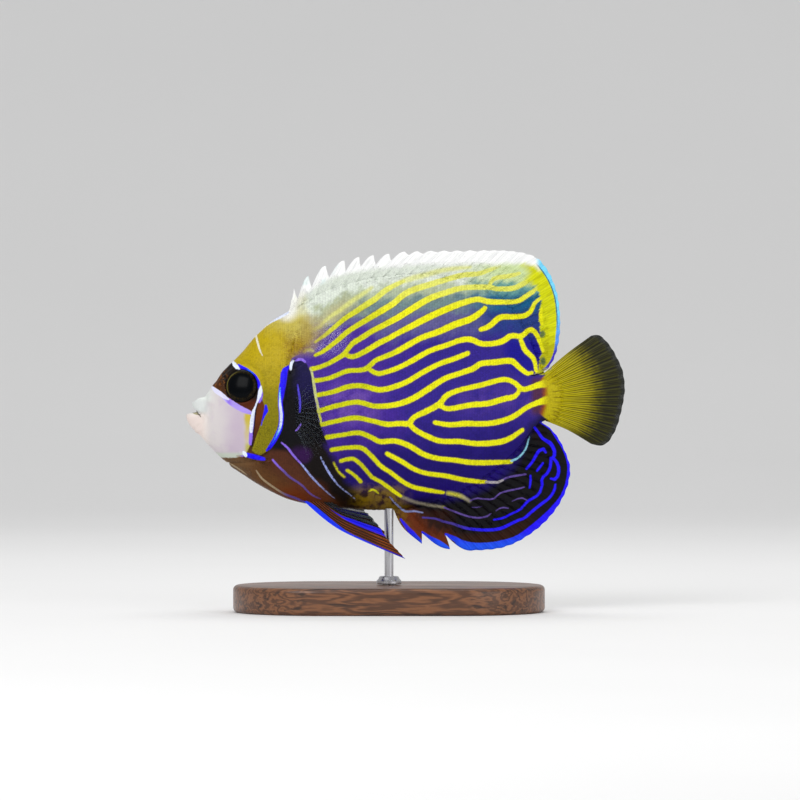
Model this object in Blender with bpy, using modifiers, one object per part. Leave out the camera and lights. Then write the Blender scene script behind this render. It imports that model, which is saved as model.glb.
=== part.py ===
"""Emperor angelfish, a sub-adult in its changing coat, as a life-size model on a plain display stand.

Metres, +Z up. The snout points to -X, the fish's left side to -Y, and the stand's base rests on Z = 0.
The side view is drawn in the pixels of a side-on photograph and scaled by the fish's total length.
Widths and thicknesses, which such a view doesn't show, are real sizes.
"""

import math

import bmesh
import bpy
from mathutils import Matrix, Vector
from mathutils.bvhtree import BVHTree

MM = 0.001

# Driving sizes
TOTAL_LENGTH = 0.146  # snout to the end of the tail fin
FIN_CLEARANCE = 0.009  # from the top of the base to the lowest fin tip
GAP = 0.0003  # between nodes that touch
BASE_SIZE = (0.104, 0.060, 0.009)
BASE_BEVEL = 0.0016
ROD_RADIUS = 0.0015
ROD_TOP_PX = (389, 500)
COLLAR_RADIUS = 0.0042
COLLAR_HEIGHT = 0.0026
COLLAR_TAPER = 0.86
ZONE_HALF_WIDTH = 0.03  # cutters reach past both flanks
BODY_SEGMENTS = (32, 60)  # around and along

# Where the side view's pixels lie: the snout, the end of the tail and the lowest fin tip
SNOUT_PX = 187
TAIL_END_PX = 625
LOWEST_FIN_PX = 558
MIDDLE_PX = (SNOUT_PX + TAIL_END_PX) / 2
PIXEL = TOTAL_LENGTH / (TAIL_END_PX - SNOUT_PX)

# The body, as stations from the back of the mouth to the root of the tail fin.
# Each has the point of its greatest width, the point on the back above it and on the belly below it,
# in pixels, its half width in millimetres, and how lens-like it is above and below: 0.5 is an ellipse.
STATIONS = [
    ((204, 412.5), (203, 411.5), (203, 413.5), 0.8, 0.5, 0.5),  # back of the mouth
    ((201, 413.0), (195.5, 407.8), (192.5, 412.8), 2.1, 0.5, 0.5),  # inside the lips
    ((199.6, 413.3), (192, 404.2), (187.4, 413.5), 2.7, 0.45, 0.45),  # front of the lips
    ((200.5, 413.8), (197.5, 399.4), (188.4, 420.5), 3.3, 0.45, 0.45),  # outside of the lips
    ((203, 414), (204.8, 397), (193, 428), 3.4, 0.5, 0.5),  # crease behind the lips
    ((207.5, 414), (209, 392), (200, 435.5), 4.3, 0.5, 0.5),  # muzzle
    ((214, 414), (214.5, 383.5), (208.3, 445.3), 5.5, 0.5, 0.5),
    ((222, 413), (222, 372), (216.5, 454), 6.6, 0.5, 0.5),  # chin
    ((231, 411), (231.5, 362.6), (226, 462), 7.6, 0.52, 0.5),  # throat
    ((242, 408), (242, 352), (239, 471.5), 8.5, 0.55, 0.5),  # eye
    ((256, 406), (256, 335.4), (254, 482), 9.4, 0.58, 0.5),  # cheek
    ((271, 406), (271, 321.5), (271, 491.6), 10.1, 0.6, 0.5),  # gill cover
    ((289, 406), (289, 311), (289, 499.5), 10.7, 0.65, 0.52),  # nape
    ((311, 406), (311, 299), (311, 504.5), 11.0, 0.7, 0.54),  # shoulder
    ((341, 405), (341, 287), (341, 508), 11.0, 0.75, 0.56),
    ((376, 403), (376, 279), (376, 510), 10.4, 0.8, 0.6),  # deepest part
    ((411, 401), (411, 275.5), (411, 508), 9.2, 0.8, 0.65),
    ((445, 399.5), (445, 277.5), (445, 498.5), 7.5, 0.8, 0.7),
    ((478, 398.5), (478, 286.5), (476, 483), 5.8, 0.75, 0.7),
    ((505, 398), (505, 303), (502, 464.5), 4.4, 0.7, 0.65),
    ((525, 398), (525, 329), (521, 446), 3.5, 0.6, 0.6),
    ((538, 398), (537.5, 357), (535, 428.5), 3.0, 0.5, 0.5),
    ((547, 397.5), (546.5, 375), (545, 420.8), 2.5, 0.5, 0.5),  # waist of the tail
    ((555, 397), (555.5, 373), (555, 422.5), 1.5, 0.5, 0.5),
    ((561, 397), (561.5, 381), (561, 414), 0.8, 0.5, 0.5),  # rounded end under the fin rays
]

# The gill opening, from above the nape to below the throat, which parts the head from the trunk
GILL_LINE = [
    (293, 296), (292, 330), (288, 366), (285, 400), (281.5, 424), (274.5, 441),
    (265.5, 455.5), (250, 462.5), (232, 463.5), (214, 466),
]
# The gill cover, a raised plate between the cheek and the gill opening
COVER_OUTLINE = [
    (266, 372), (277, 367.5), (287, 367), (284.2, 400), (280.7, 424), (273.8, 440.5),
    (264.5, 454), (256, 451.5), (256, 440), (260.5, 418), (265, 400),
]
COVER_PROUD = 0.00035
COVER_INNER_Y = 0.0056
TAIL_CUT_PX = 534

EYE_PX = (241.7, 386.2)
EYE_RADIUS = 0.0057
EYE_HALF_DEPTH = 0.0024
EYE_SUNK = 0.0009  # how far its middle lies under the skin
EYE_TURN = (15, 12)  # degrees that it looks forwards and upwards

NOSTRILS_PX = ((220.5, 383.5), (225.5, 377.5))
NOSTRIL_RADIUS = 0.0006
CHEEK_SPINE_PX = ((241, 453), (267, 460.5))
CHEEK_SPINE_PROUD = (-0.0003, 0.0008)  # how far its root and its tip stand off the cheek
CHEEK_SPINE_RADIUS = (0.0011, 0.00012)

# The fins: what each has at its root and at its tip, and what the web between its rays has of that
MEDIAN_THICKNESS = (0.0020, 0.0006)
MEMBRANE_SHARE = 0.5
LEAST_THICKNESS = 0.0005
RAY_SCALLOP_PX = 0.8  # how far the margin draws in between two rays
WEB_ROOT_SHARES = (0.45, 0.75)  # where the notch and the rise behind a spine start, on the way to the next
WEB_RISE_SHARES = (0.38, 0.58)  # how far the rise has come from the notch to the next tip, in x and in y
SPLIT_SHIFT_PX = 1.5  # along the body, between the spiny and the soft part of a fin

DORSAL_TIPS = [
    (294, 288.7), (308.6, 276.2), (325.8, 265.9), (344.5, 260.6), (359.2, 257.1), (373.6, 255.4),
    (389.3, 253.8), (404.9, 251.8), (417.8, 251.3), (431.6, 250.9), (444.8, 250.7), (457.8, 250.6),
    (471, 250.4), (484.6, 250.4),
]
DORSAL_NOTCHES = [
    (297.8, 299.5), (311.7, 287.4), (329.2, 277.9), (345.9, 271.3), (360.8, 266.9), (375.9, 265.0),
    (391.2, 261.1), (409.0, 255.4), (423.2, 254.0), (437.6, 252.6), (451.0, 252.2), (464.0, 252.0),
    (477.6, 251.8),
]
DORSAL_SPINE_ROOTS = ((290.5, 318), (311, 306), (341, 294), (376, 286), (411, 283), (446, 285))
DORSAL_SOFT_ROOTS = ((478, 295), (503, 312), (521, 336), (531, 362), (533, 372))
DORSAL_SOFT_MARGIN = (
    (506, 250.7), (524, 253), (537.5, 258.2), (547, 269), (554, 283), (558.6, 300), (560.3, 320),
    (559.4, 338), (555.6, 355), (548.8, 367.6), (540.5, 373.6),
)
DORSAL_RAY_COUNT = 20
DORSAL_BOW = 0.025

ANAL_SPINE_ROOTS = ((391, 503), (404, 502), (418, 498))
ANAL_SPINE_TIPS = ((421.9, 544), (450, 549.2), (471, 550.8))
ANAL_NOTCHES = ((422, 532.5), (445.3, 534.5))
ANAL_SOFT_ROOTS = ((450, 488), (476, 474), (500, 456), (518, 439), (529, 426), (532, 419))
ANAL_SOFT_MARGIN = (
    (490, 549.8), (504, 547.4), (520, 540.8), (537, 529.4), (550, 517), (560.5, 502.5), (568, 485.5),
    (570.5, 469), (567, 455.5), (559, 438.8), (550, 428), (541, 422),
)
ANAL_RAY_COUNT = 20
ANAL_BOW = -0.03

TAIL_ROOTS = ((550, 378.5), (551, 388), (551.5, 398), (551, 407.5), (550, 417))
TAIL_MARGIN = (
    (592, 335.2), (600, 335.2), (608, 341.3), (615, 350.8), (620.5, 363), (624, 377), (625, 391),
    (623.4, 404), (620.5, 416.5), (616, 429), (609.5, 440), (601, 445.8), (592, 444.6),
)
TAIL_RAY_COUNT = 17

PECTORAL_BASE_PX = ((295.5, 400), (298, 431))
PECTORAL_LENGTHS = (0.014, 0.021, 0.0245, 0.025, 0.024, 0.0215, 0.0175, 0.0125)
PECTORAL_FAN = (28, -44)  # degrees above and below the fish's length, of its first and last ray
PECTORAL_SPREAD = 62  # degrees that the fin is swung out from the flank
PECTORAL_CUP = 0.05  # how far its rim bends forward, as a share of its length
PECTORAL_SUNK = 0.0025
PECTORAL_RAY_COUNT = 12
PECTORAL_THICKNESS = (0.0012, 0.0005)

PELVIC_ROOT_PX = ((303, 500), (332, 503))
PELVIC_TIPS_PX = ((406.5, 558), (400, 550.5), (392.5, 542.5), (385.5, 533), (379, 523), (370, 512.5))
PELVIC_ROOT_Y = 0.0016
PELVIC_BOW = 0.055
PELVIC_SPREAD = {"left": (9, 0), "right": (37, 9)}  # degrees outwards, and degrees lifted
PELVIC_SLANT = 0.0022  # how far the last ray stands outside the first
PELVIC_RAYS = 6
PELVIC_THICKNESS = (0.0015, 0.0005)

COLOURS = {
    "muzzle": (0.86, 0.79, 0.80),
    "stripes": (0.33, 0.27, 0.22),
    "gold": (0.62, 0.53, 0.06),
    "white_fin": (0.86, 0.90, 0.86),
    "yellow_fin": (0.74, 0.68, 0.06),
    "dark_fin": (0.05, 0.04, 0.16),
    "clear_fin": (0.55, 0.56, 0.48),
    "eye": (0.02, 0.02, 0.02),
    "base": (0.20, 0.11, 0.06),
    "steel": (0.62, 0.62, 0.64),
}


def on_side(px, py):
    """A side-view pixel as (x, z) in metres."""
    floor_px = LOWEST_FIN_PX + (FIN_CLEARANCE + BASE_SIZE[2]) / PIXEL
    return (px - MIDDLE_PX) * PIXEL, (floor_px - py) * PIXEL


def blend_points(values, t):
    """The Catmull-Rom curve through values, a list of equal-length tuples, at t from 0 to 1."""
    last = len(values) - 1
    place = min(max(t, 0.0), 1.0) * last
    index = min(int(place), last - 1)
    u = place - index
    p0, p1, p2, p3 = (values[min(max(index + k, 0), last)] for k in (-1, 0, 1, 2))
    return [
        0.5 * (2 * b + (c - a) * u + (2 * a - 5 * b + 4 * c - d) * u**2 + (3 * b - a - 3 * c + d) * u**3)
        for a, b, c, d in zip(p0, p1, p2, p3)
    ]


def along(points, count):
    """count points spread evenly along the smooth curve through points."""
    fine = [Vector(blend_points(points, i / 400)) for i in range(401)]
    reach = [0.0]
    for a, b in zip(fine, fine[1:]):
        reach.append(reach[-1] + (b - a).length)
    found = []
    index = 0
    for k in range(count):
        wanted = reach[-1] * k / (count - 1)
        while index < 399 and reach[index + 1] < wanted:
            index += 1
        share = (wanted - reach[index]) / max(reach[index + 1] - reach[index], 1e-9)
        found.append(fine[index].lerp(fine[index + 1], share))
    return found


def flat_station(station):
    """A station's numbers in one row, so that they can be blended."""
    side, back, belly, half_width, above, below = station
    return [*side, *back, *belly, half_width, above, below]


def body_point(t, angle):
    """The body's surface at t from the mouth (0) to the tail (1), and at an angle about its length."""
    sx, sy, tx, ty, bx, by, half_width, above, below = blend_points([flat_station(s) for s in STATIONS], t)
    rise = math.sin(angle)
    end_x, end_y, lens = (tx, ty, above) if rise >= 0 else (bx, by, below)
    x, z = on_side(sx + (end_x - sx) * abs(rise), sy + (end_y - sy) * abs(rise))
    across = math.cos(angle)
    y = math.copysign(half_width * MM * abs(across) ** (2 * lens), across)
    return Vector((x, y, z))


def material(name):
    """The plain material of that name, made once."""
    found = bpy.data.materials.get(name)
    if found:
        return found
    made = bpy.data.materials.new(name)
    made.use_nodes = True
    shader = made.node_tree.nodes["Principled BSDF"]
    shader.inputs["Base Color"].default_value = (*COLOURS[name], 1)
    shader.inputs["Roughness"].default_value = 0.25 if name in ("eye", "steel") else 0.45
    shader.inputs["Metallic"].default_value = 1.0 if name == "steel" else 0.0
    made.diffuse_color = (*COLOURS[name], 1)
    return made


def face_out(bm):
    """Turns every face of a closed bmesh outwards."""
    bmesh.ops.recalc_face_normals(bm, faces=bm.faces)
    if bm.calc_volume(signed=True) < 0:
        bmesh.ops.reverse_faces(bm, faces=bm.faces)
    bm.normal_update()


def make_object(name, bm, collection, colour=None, smooth=True):
    """An object in the collection from a bmesh, with its normals out if it is closed."""
    face_out(bm)
    mesh = bpy.data.meshes.new(name)
    bm.to_mesh(mesh)
    bm.free()
    if smooth:
        mesh.shade_smooth()
        mesh.set_sharp_from_angle(angle=math.radians(50))
    made = bpy.data.objects.new(name, mesh)
    collection.objects.link(made)
    if colour:
        mesh.materials.append(material(colour))
    return made


def settle(obj):
    """Applies the object's modifiers."""
    bpy.context.view_layer.update()
    graph = bpy.context.evaluated_depsgraph_get()
    made = bpy.data.meshes.new_from_object(obj.evaluated_get(graph))
    obj.modifiers.clear()
    old = obj.data
    obj.data = made
    bpy.data.meshes.remove(old)
    return obj


def combine(obj, others, operation):
    """Cuts the others from obj, joins them to it or keeps what is common, and removes them."""
    for other in others:
        modifier = obj.modifiers.new("combine", "BOOLEAN")
        modifier.object = other
        modifier.operation = operation
    settle(obj)
    for other in others:
        bpy.data.objects.remove(other)
    return largest(obj)


def largest(obj):
    """Keeps only the largest closed surface of obj."""
    bm = bmesh.new()
    bm.from_mesh(obj.data)
    bmesh.ops.triangulate(bm, faces=bm.faces)
    left = set(bm.verts)
    groups = []
    while left:
        queue = [left.pop()]
        group = set(queue)
        while queue:
            for edge in queue.pop().link_edges:
                for vert in edge.verts:
                    if vert in left:
                        left.discard(vert)
                        group.add(vert)
                        queue.append(vert)
        groups.append(group)
    keep = max(groups, key=len)
    bmesh.ops.delete(bm, geom=[v for v in bm.verts if v not in keep], context="VERTS")
    bm.to_mesh(obj.data)
    bm.free()
    return obj


def copy_of(obj, name, collection):
    """A second object with its own mesh."""
    made = bpy.data.objects.new(name, obj.data.copy())
    collection.objects.link(made)
    return made


def body(name, collection, grow=0.0):
    """The whole body as one closed surface, optionally grown outwards."""
    bm = bmesh.new()
    around, lengthwise = BODY_SEGMENTS
    bmesh.ops.create_uvsphere(bm, u_segments=around, v_segments=lengthwise, radius=1)
    for vert in bm.verts:
        t = math.acos(max(-1.0, min(1.0, vert.co.z))) / math.pi
        vert.co = body_point(t, math.atan2(vert.co.y, vert.co.x))
    face_out(bm)
    if grow:
        for vert, normal in [(v, v.normal.copy()) for v in bm.verts]:
            vert.co += normal * grow
    return make_object(name, bm, collection)


def surface_tree(obj):
    """A search tree of the object's faces."""
    return BVHTree.FromPolygons([v.co for v in obj.data.vertices], [p.vertices for p in obj.data.polygons])


def surface_point(tree, pixel, side):
    """The point of the surface that a side-view pixel shows. side is -1 on the fish's left."""
    x, z = on_side(*pixel)
    place, _, _, _ = tree.ray_cast(Vector((x, side * 2 * ZONE_HALF_WIDTH, z)), Vector((0, -side, 0)))
    return place


def prism(name, collection, outline, low_y, high_y):
    """A cutter: the side-view outline, run across from low_y to high_y."""
    bm = bmesh.new()
    corners = [on_side(*point) for point in outline]
    face = bm.faces.new([bm.verts.new((x, low_y, z)) for x, z in corners])
    pushed = bmesh.ops.extrude_face_region(bm, geom=[face])["geom"]
    moved = [v for v in pushed if isinstance(v, bmesh.types.BMVert)]
    bmesh.ops.translate(bm, verts=moved, vec=(0, high_y - low_y, 0))
    return make_object(name, bm, collection, smooth=False)


def offset_line(points, distance_px):
    """The open line moved to its left by a distance, in pixels."""
    moved = []
    for i, (x, y) in enumerate(points):
        ax, ay = points[max(i - 1, 0)]
        bx, by = points[min(i + 1, len(points) - 1)]
        length = math.hypot(bx - ax, by - ay)
        moved.append((x - (by - ay) / length * distance_px, y + (bx - ax) / length * distance_px))
    return moved


def grown_outline(points, distance_px):
    """The closed outline grown about its own middle by a distance, in pixels."""
    cx = sum(p[0] for p in points) / len(points)
    cy = sum(p[1] for p in points) / len(points)
    grown = []
    for i, (x, y) in enumerate(points):
        ax, ay = points[i - 1]
        bx, by = points[(i + 1) % len(points)]
        nx, ny = by - ay, ax - bx
        length = math.hypot(nx, ny)
        side = math.copysign(1, nx * (x - cx) + ny * (y - cy))
        grown.append((x + side * nx / length * distance_px, y + side * ny / length * distance_px))
    return grown


def ellipsoid(name, collection, centre, radii, segments, rings, turn=None, colour=None):
    """A closed ellipsoid whose poles are on the Y axis, or on that axis turned."""
    bm = bmesh.new()
    bmesh.ops.create_uvsphere(bm, u_segments=segments, v_segments=rings, radius=1)
    bmesh.ops.rotate(bm, verts=bm.verts, matrix=Matrix.Rotation(math.pi / 2, 3, "X"))
    bmesh.ops.scale(bm, verts=bm.verts, vec=radii)
    if turn:
        bmesh.ops.rotate(bm, verts=bm.verts, matrix=turn)
    bmesh.ops.translate(bm, verts=bm.verts, vec=centre)
    return make_object(name, bm, collection, colour)


def taper(name, collection, start, end, start_radius, end_radius, sides):
    """A closed cone or rod between two points."""
    start, end = Vector(start), Vector(end)
    bm = bmesh.new()
    length = (end - start).length
    bmesh.ops.create_cone(
        bm, cap_ends=True, segments=sides, radius1=start_radius, radius2=end_radius, depth=length
    )
    turn = (end - start).to_track_quat("Z", "Y").to_matrix()
    bmesh.ops.rotate(bm, verts=bm.verts, matrix=turn)
    bmesh.ops.translate(bm, verts=bm.verts, vec=(start + end) / 2)
    return make_object(name, bm, collection)


def fin(name, collection, colour, columns, rows, thickness):
    """A ribbed fin from columns of points that run from root to tip, and its thickness at root and tip.

    Each column is (points, is_ray): a ray has the full thickness, and the web between rays a share of it.
    """
    at_root, at_tip = thickness
    bm = bmesh.new()
    across = len(columns) - 1
    bmesh.ops.create_grid(bm, x_segments=across, y_segments=rows, size=1)
    weights = {}
    for vert in bm.verts:
        i = round((vert.co.x + 1) / 2 * across)
        share = (vert.co.y + 1) / 2
        points, is_ray = columns[i]
        vert.co = blend_points(points, share)
        here = at_root + (at_tip - at_root) * share
        if not is_ray:
            here = max(here * MEMBRANE_SHARE, LEAST_THICKNESS)
        weights[vert] = here / at_root
    bmesh.ops.triangulate(bm, faces=bm.faces)
    bm.verts.index_update()
    weights = {vert.index: weight for vert, weight in weights.items()}
    made = make_object(name, bm, collection, colour)
    group = made.vertex_groups.new(name="thickness")
    for index, weight in weights.items():
        group.add([index], weight, "REPLACE")
    shell = made.modifiers.new("thickness", "SOLIDIFY")
    shell.thickness = at_root
    shell.offset = 0
    shell.vertex_group = "thickness"
    return settle(made)


def median_column(root, tip, bow):
    """A column of a fin in the fish's middle plane, bowed sideways by a share of its length."""
    rx, rz = on_side(*root)
    tx, tz = on_side(*tip)
    middle = ((rx + tx) / 2 + (tz - rz) * bow, 0, (rz + tz) / 2 - (tx - rx) * bow)
    return [(rx, 0, rz), middle, (tx, 0, tz)]


def mixed(a, b, share_x, share_y):
    """A point between two others, by its share of the way in x and in y."""
    return a[0] + (b[0] - a[0]) * share_x, a[1] + (b[1] - a[1]) * share_y


def spine_columns(roots, tips, notches, bow):
    """Columns of a spiny fin: each spine, the rising edge of the web behind it, and the notch in that web."""
    columns = []
    for i, (root, tip) in enumerate(zip(roots, tips)):
        columns.append((median_column(root, tip, bow), True))
        if i + 1 == len(tips):
            break
        ahead, notch = tips[i + 1], notches[i]
        near, later = (mixed(root, roots[i + 1], share, share) for share in WEB_ROOT_SHARES)
        columns.append((median_column(near, notch, bow), False))
        columns.append((median_column(later, mixed(notch, ahead, *WEB_RISE_SHARES), bow), False))
    return columns


def ray_columns(roots, tips, rays, bow, scallop):
    """Columns of a soft fin, with that many rays spread evenly between two smooth lines."""
    steps = 2 * rays - 1
    root_points, tip_points = along(roots, steps), along(tips, steps)
    columns = []
    for i, (root, tip) in enumerate(zip(root_points, tip_points)):
        is_ray = i % 2 == 0
        if not is_ray:
            tip = tip + (root - tip).normalized() * scallop
        columns.append((median_column(root, tip, bow), is_ray))
    return columns


def trim(obj, grown_body, collection):
    """Cuts a fin back to a gap's width from the body."""
    return combine(obj, [copy_of(grown_body, "trimmer", collection)], "DIFFERENCE")


def behind(point):
    """The point a gap's width behind a split in a fin."""
    return point[0] + SPLIT_SHIFT_PX, point[1]


def dorsal_fin_spiny(collection):
    """The front of the dorsal fin: spines with a notched web."""
    roots = [tuple(p) for p in along(DORSAL_SPINE_ROOTS, len(DORSAL_TIPS))]
    columns = spine_columns(roots, DORSAL_TIPS, DORSAL_NOTCHES, DORSAL_BOW)
    return fin("dorsal_fin_spiny", collection, "white_fin", columns, 4, MEDIAN_THICKNESS)


def dorsal_fin_soft(collection):
    """The rear of the dorsal fin, rounded, on soft rays."""
    roots = (behind(DORSAL_SPINE_ROOTS[-1]), *DORSAL_SOFT_ROOTS)
    margin = (behind(DORSAL_TIPS[-1]), *DORSAL_SOFT_MARGIN)
    columns = ray_columns(roots, margin, DORSAL_RAY_COUNT, DORSAL_BOW, RAY_SCALLOP_PX)
    return fin("dorsal_fin_soft", collection, "white_fin", columns, 5, MEDIAN_THICKNESS)


def anal_fin_spiny(collection):
    """The three spines of the anal fin and the web between them."""
    columns = spine_columns(ANAL_SPINE_ROOTS, ANAL_SPINE_TIPS, ANAL_NOTCHES, ANAL_BOW)
    return fin("anal_fin_spiny", collection, "dark_fin", columns, 4, MEDIAN_THICKNESS)


def anal_fin_soft(collection):
    """The rounded rear of the anal fin, on soft rays."""
    roots = (behind(ANAL_SPINE_ROOTS[-1]), *ANAL_SOFT_ROOTS)
    margin = (behind(ANAL_SPINE_TIPS[-1]), *ANAL_SOFT_MARGIN)
    columns = ray_columns(roots, margin, ANAL_RAY_COUNT, ANAL_BOW, RAY_SCALLOP_PX)
    return fin("anal_fin_soft", collection, "dark_fin", columns, 5, MEDIAN_THICKNESS)


def tail_fin(collection):
    """The fan of the tail fin."""
    columns = ray_columns(TAIL_ROOTS, TAIL_MARGIN, TAIL_RAY_COUNT, 0.0, RAY_SCALLOP_PX)
    return fin("tail_fin", collection, "yellow_fin", columns, 6, MEDIAN_THICKNESS)


def pectoral_fin(name, collection, side, flank):
    """A breast fin behind the gill cover, swung out from the flank. side is -1 on the fish's left."""
    (ax, ay), (bx, by) = PECTORAL_BASE_PX
    out = math.radians(PECTORAL_SPREAD)
    steps = 2 * PECTORAL_RAY_COUNT - 1
    columns = []
    for i in range(steps):
        share = i / (steps - 1)
        root = surface_point(flank, (ax + (bx - ax) * share, ay + (by - ay) * share), side)
        slope = math.radians(PECTORAL_FAN[0] + (PECTORAL_FAN[1] - PECTORAL_FAN[0]) * share)
        (reach,) = blend_points([(length,) for length in PECTORAL_LENGTHS], share)
        level, rise = math.cos(slope), math.sin(slope)
        lie = Vector((level * math.cos(out), side * level * math.sin(out), rise))
        cup = Vector((-math.sin(out), side * math.cos(out), 0)) * reach * PECTORAL_CUP
        points = [root - lie * PECTORAL_SUNK, root + lie * reach / 2, root + lie * reach + cup]
        columns.append((points, i % 2 == 0))
    return fin(name, collection, "clear_fin", columns, 5, PECTORAL_THICKNESS)


def pelvic_fin(name, collection, side):
    """A belly fin folded back under the fish: a long leading spine and soft rays."""
    outwards, lifted = PELVIC_SPREAD["left" if side < 0 else "right"]
    (ax, ay), (bx, by) = PELVIC_ROOT_PX
    hinge_x, hinge_z = on_side(ax, ay)
    hinge = Vector((hinge_x, 0, hinge_z))
    off_middle = Vector((0, side * PELVIC_ROOT_Y, 0))
    swing = Matrix.Rotation(math.radians(side * outwards), 3, "Z")
    lift = Matrix.Rotation(math.radians(-lifted), 3, "Y")
    steps = 2 * PELVIC_RAYS - 1
    columns = []
    for i in range(steps):
        share = i / (steps - 1)
        root = (ax + (bx - ax) * share, ay + (by - ay) * share)
        line = median_column(root, blend_points(PELVIC_TIPS_PX, share), PELVIC_BOW)
        placed = []
        for k, point in enumerate(line):
            slant = Vector((0, side * PELVIC_SLANT * share * k / 2, 0))
            placed.append(hinge + swing @ lift @ (Vector(point) - hinge + slant) + off_middle)
        columns.append((placed, i % 2 == 0))
    return fin(name, collection, "dark_fin", columns, 5, PELVIC_THICKNESS)


def eye_place(skin, side):
    """The middle of an eye, and its turn out of the Y axis."""
    forwards, upwards = (math.radians(angle) for angle in EYE_TURN)
    level = math.cos(upwards)
    out = Vector((-math.sin(forwards) * level, side * math.cos(forwards) * level, math.sin(upwards)))
    turn = Vector((0, side, 0)).rotation_difference(out).to_matrix()
    return surface_point(skin, EYE_PX, side) - out * EYE_SUNK, turn


def cut_whole(whole, collection, scraps):
    """Head, trunk and tail base, parted from the whole body by thin cuts."""
    gap_px = GAP / PIXEL
    behind_gill = offset_line(GILL_LINE, -gap_px)
    front, back, top, bottom = 150, 720, 200, 640
    ahead = [(front, GILL_LINE[0][1]), *GILL_LINE, (front, GILL_LINE[-1][1])]
    between = [(TAIL_CUT_PX, top), (behind_gill[0][0], top), *behind_gill]
    between += [(behind_gill[-1][0], bottom), (TAIL_CUT_PX, bottom)]
    rear = [(TAIL_CUT_PX + gap_px, top), (back, top), (back, bottom), (TAIL_CUT_PX + gap_px, bottom)]
    nodes = []
    for name, colour, outline in (
        ("head", "muzzle", ahead), ("trunk", "stripes", between), ("tail_base", "yellow_fin", rear),
    ):
        node = copy_of(whole, name, collection)
        combine(node, [prism("zone", scraps, outline, -ZONE_HALF_WIDTH, ZONE_HALF_WIDTH)], "INTERSECT")
        node.data.materials.append(material(colour))
        nodes.append(node)
    return nodes


def add_face(head, whole, collection, scraps):
    """Gill covers, eyes, nostrils and cheek spines, each set into or on the head."""
    skin = surface_tree(whole)
    proud = body("proud", scraps, COVER_PROUD)
    pocket = grown_outline(COVER_OUTLINE, GAP / PIXEL)
    for side, word in ((-1, "left"), (1, "right")):
        cover = copy_of(proud, f"gill_cover_{word}", collection)
        span = sorted((side * COVER_INNER_Y, side * ZONE_HALF_WIDTH))
        combine(cover, [prism("zone", scraps, COVER_OUTLINE, *span)], "INTERSECT")
        cover.data.materials.append(material("gold"))
        span = sorted((side * (COVER_INNER_Y - GAP), side * ZONE_HALF_WIDTH))
        combine(head, [prism("pocket", scraps, pocket, *span)], "DIFFERENCE")

        radii = (EYE_RADIUS, EYE_HALF_DEPTH, EYE_RADIUS)
        centre, turn = eye_place(skin, side)
        ellipsoid(f"eye_{word}", collection, centre, radii, 28, 14, turn, "eye")
        socket = ellipsoid("socket", scraps, centre, [r + GAP for r in radii], 28, 14, turn)
        nostrils = [
            ellipsoid("nostril", scraps, surface_point(skin, pixel, side), (NOSTRIL_RADIUS,) * 3, 8, 6)
            for pixel in NOSTRILS_PX
        ]
        combine(head, [socket, *nostrils], "DIFFERENCE")

        ends = []
        for pixel, stand_off in zip(CHEEK_SPINE_PX, CHEEK_SPINE_PROUD):
            ends.append(surface_point(skin, pixel, side) + Vector((0, side * stand_off, 0)))
        spine = taper("cheek_spine", scraps, *ends, *CHEEK_SPINE_RADIUS, 8)
        combine(head, [spine], "UNION")
    bpy.data.objects.remove(proud)


def build_stand(collection, scraps, grown):
    """A flat base, a rod up to the belly, and the collar at its foot."""
    length, width, height = BASE_SIZE
    rod_x, belly_z = on_side(*ROD_TOP_PX)
    bm = bmesh.new()
    bmesh.ops.create_cone(bm, cap_ends=True, segments=48, radius1=width / 2, radius2=width / 2, depth=height)
    for vert in bm.verts:
        vert.co.x += math.copysign((length - width) / 2, vert.co.x) if abs(vert.co.x) > 1e-6 else 0
        vert.co += Vector((rod_x, 0, height / 2))
    base = make_object("stand_base", bm, collection, "base", smooth=False)
    edges = base.modifiers.new("edge", "BEVEL")
    edges.width = BASE_BEVEL
    edges.segments = 2
    edges.limit_method = "ANGLE"
    settle(base)

    foot = Vector((rod_x, 0, height + GAP))
    rod = taper("stand_rod", collection, foot, (rod_x, 0, belly_z), ROD_RADIUS, ROD_RADIUS, 20)
    rod.data.materials.append(material("steel"))
    trim(rod, grown, scraps)
    rim = foot + Vector((0, 0, COLLAR_HEIGHT))
    collar = taper("stand_collar", collection, foot, rim, COLLAR_RADIUS, COLLAR_RADIUS * COLLAR_TAPER, 24)
    hole = ROD_RADIUS + GAP
    bore = taper("bore", scraps, (rod_x, 0, 0), rim + Vector((0, 0, height)), hole, hole, 20)
    combine(collar, [bore], "DIFFERENCE")
    collar.data.materials.append(material("steel"))


def main():
    """Builds every node of the model."""
    for obj in list(bpy.data.objects):
        bpy.data.objects.remove(obj)
    fish = bpy.data.collections.new("emperor_angelfish")
    scraps = bpy.data.collections.new("cutters")
    for collection in (fish, scraps):
        bpy.context.scene.collection.children.link(collection)

    whole = body("whole", scraps)
    grown = body("grown", scraps, GAP)
    flank = surface_tree(whole)
    head, _, _ = cut_whole(whole, fish, scraps)
    add_face(head, whole, fish, scraps)
    for make in (dorsal_fin_spiny, dorsal_fin_soft, anal_fin_spiny, anal_fin_soft, tail_fin):
        trim(make(fish), grown, scraps)
    for side, word in ((-1, "left"), (1, "right")):
        trim(pectoral_fin(f"pectoral_fin_{word}", fish, side, flank), grown, scraps)
        trim(pelvic_fin(f"pelvic_fin_{word}", fish, side), grown, scraps)
    build_stand(fish, scraps, grown)
    for scrap in (whole, grown):
        bpy.data.objects.remove(scrap)


main()
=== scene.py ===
"""Emperor angelfish in its changing coat on a display stand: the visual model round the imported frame.

Metres, +Z up; the snout points to -X and the fish's left side to -Y. The side view is drawn in the
pixels of a side-on picture, as the solids are, and scaled by the same total length.
"""

import logging
import math
from dataclasses import dataclass, field
from enum import Enum
from functools import partialmethod
from typing import Callable, Sequence

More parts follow.
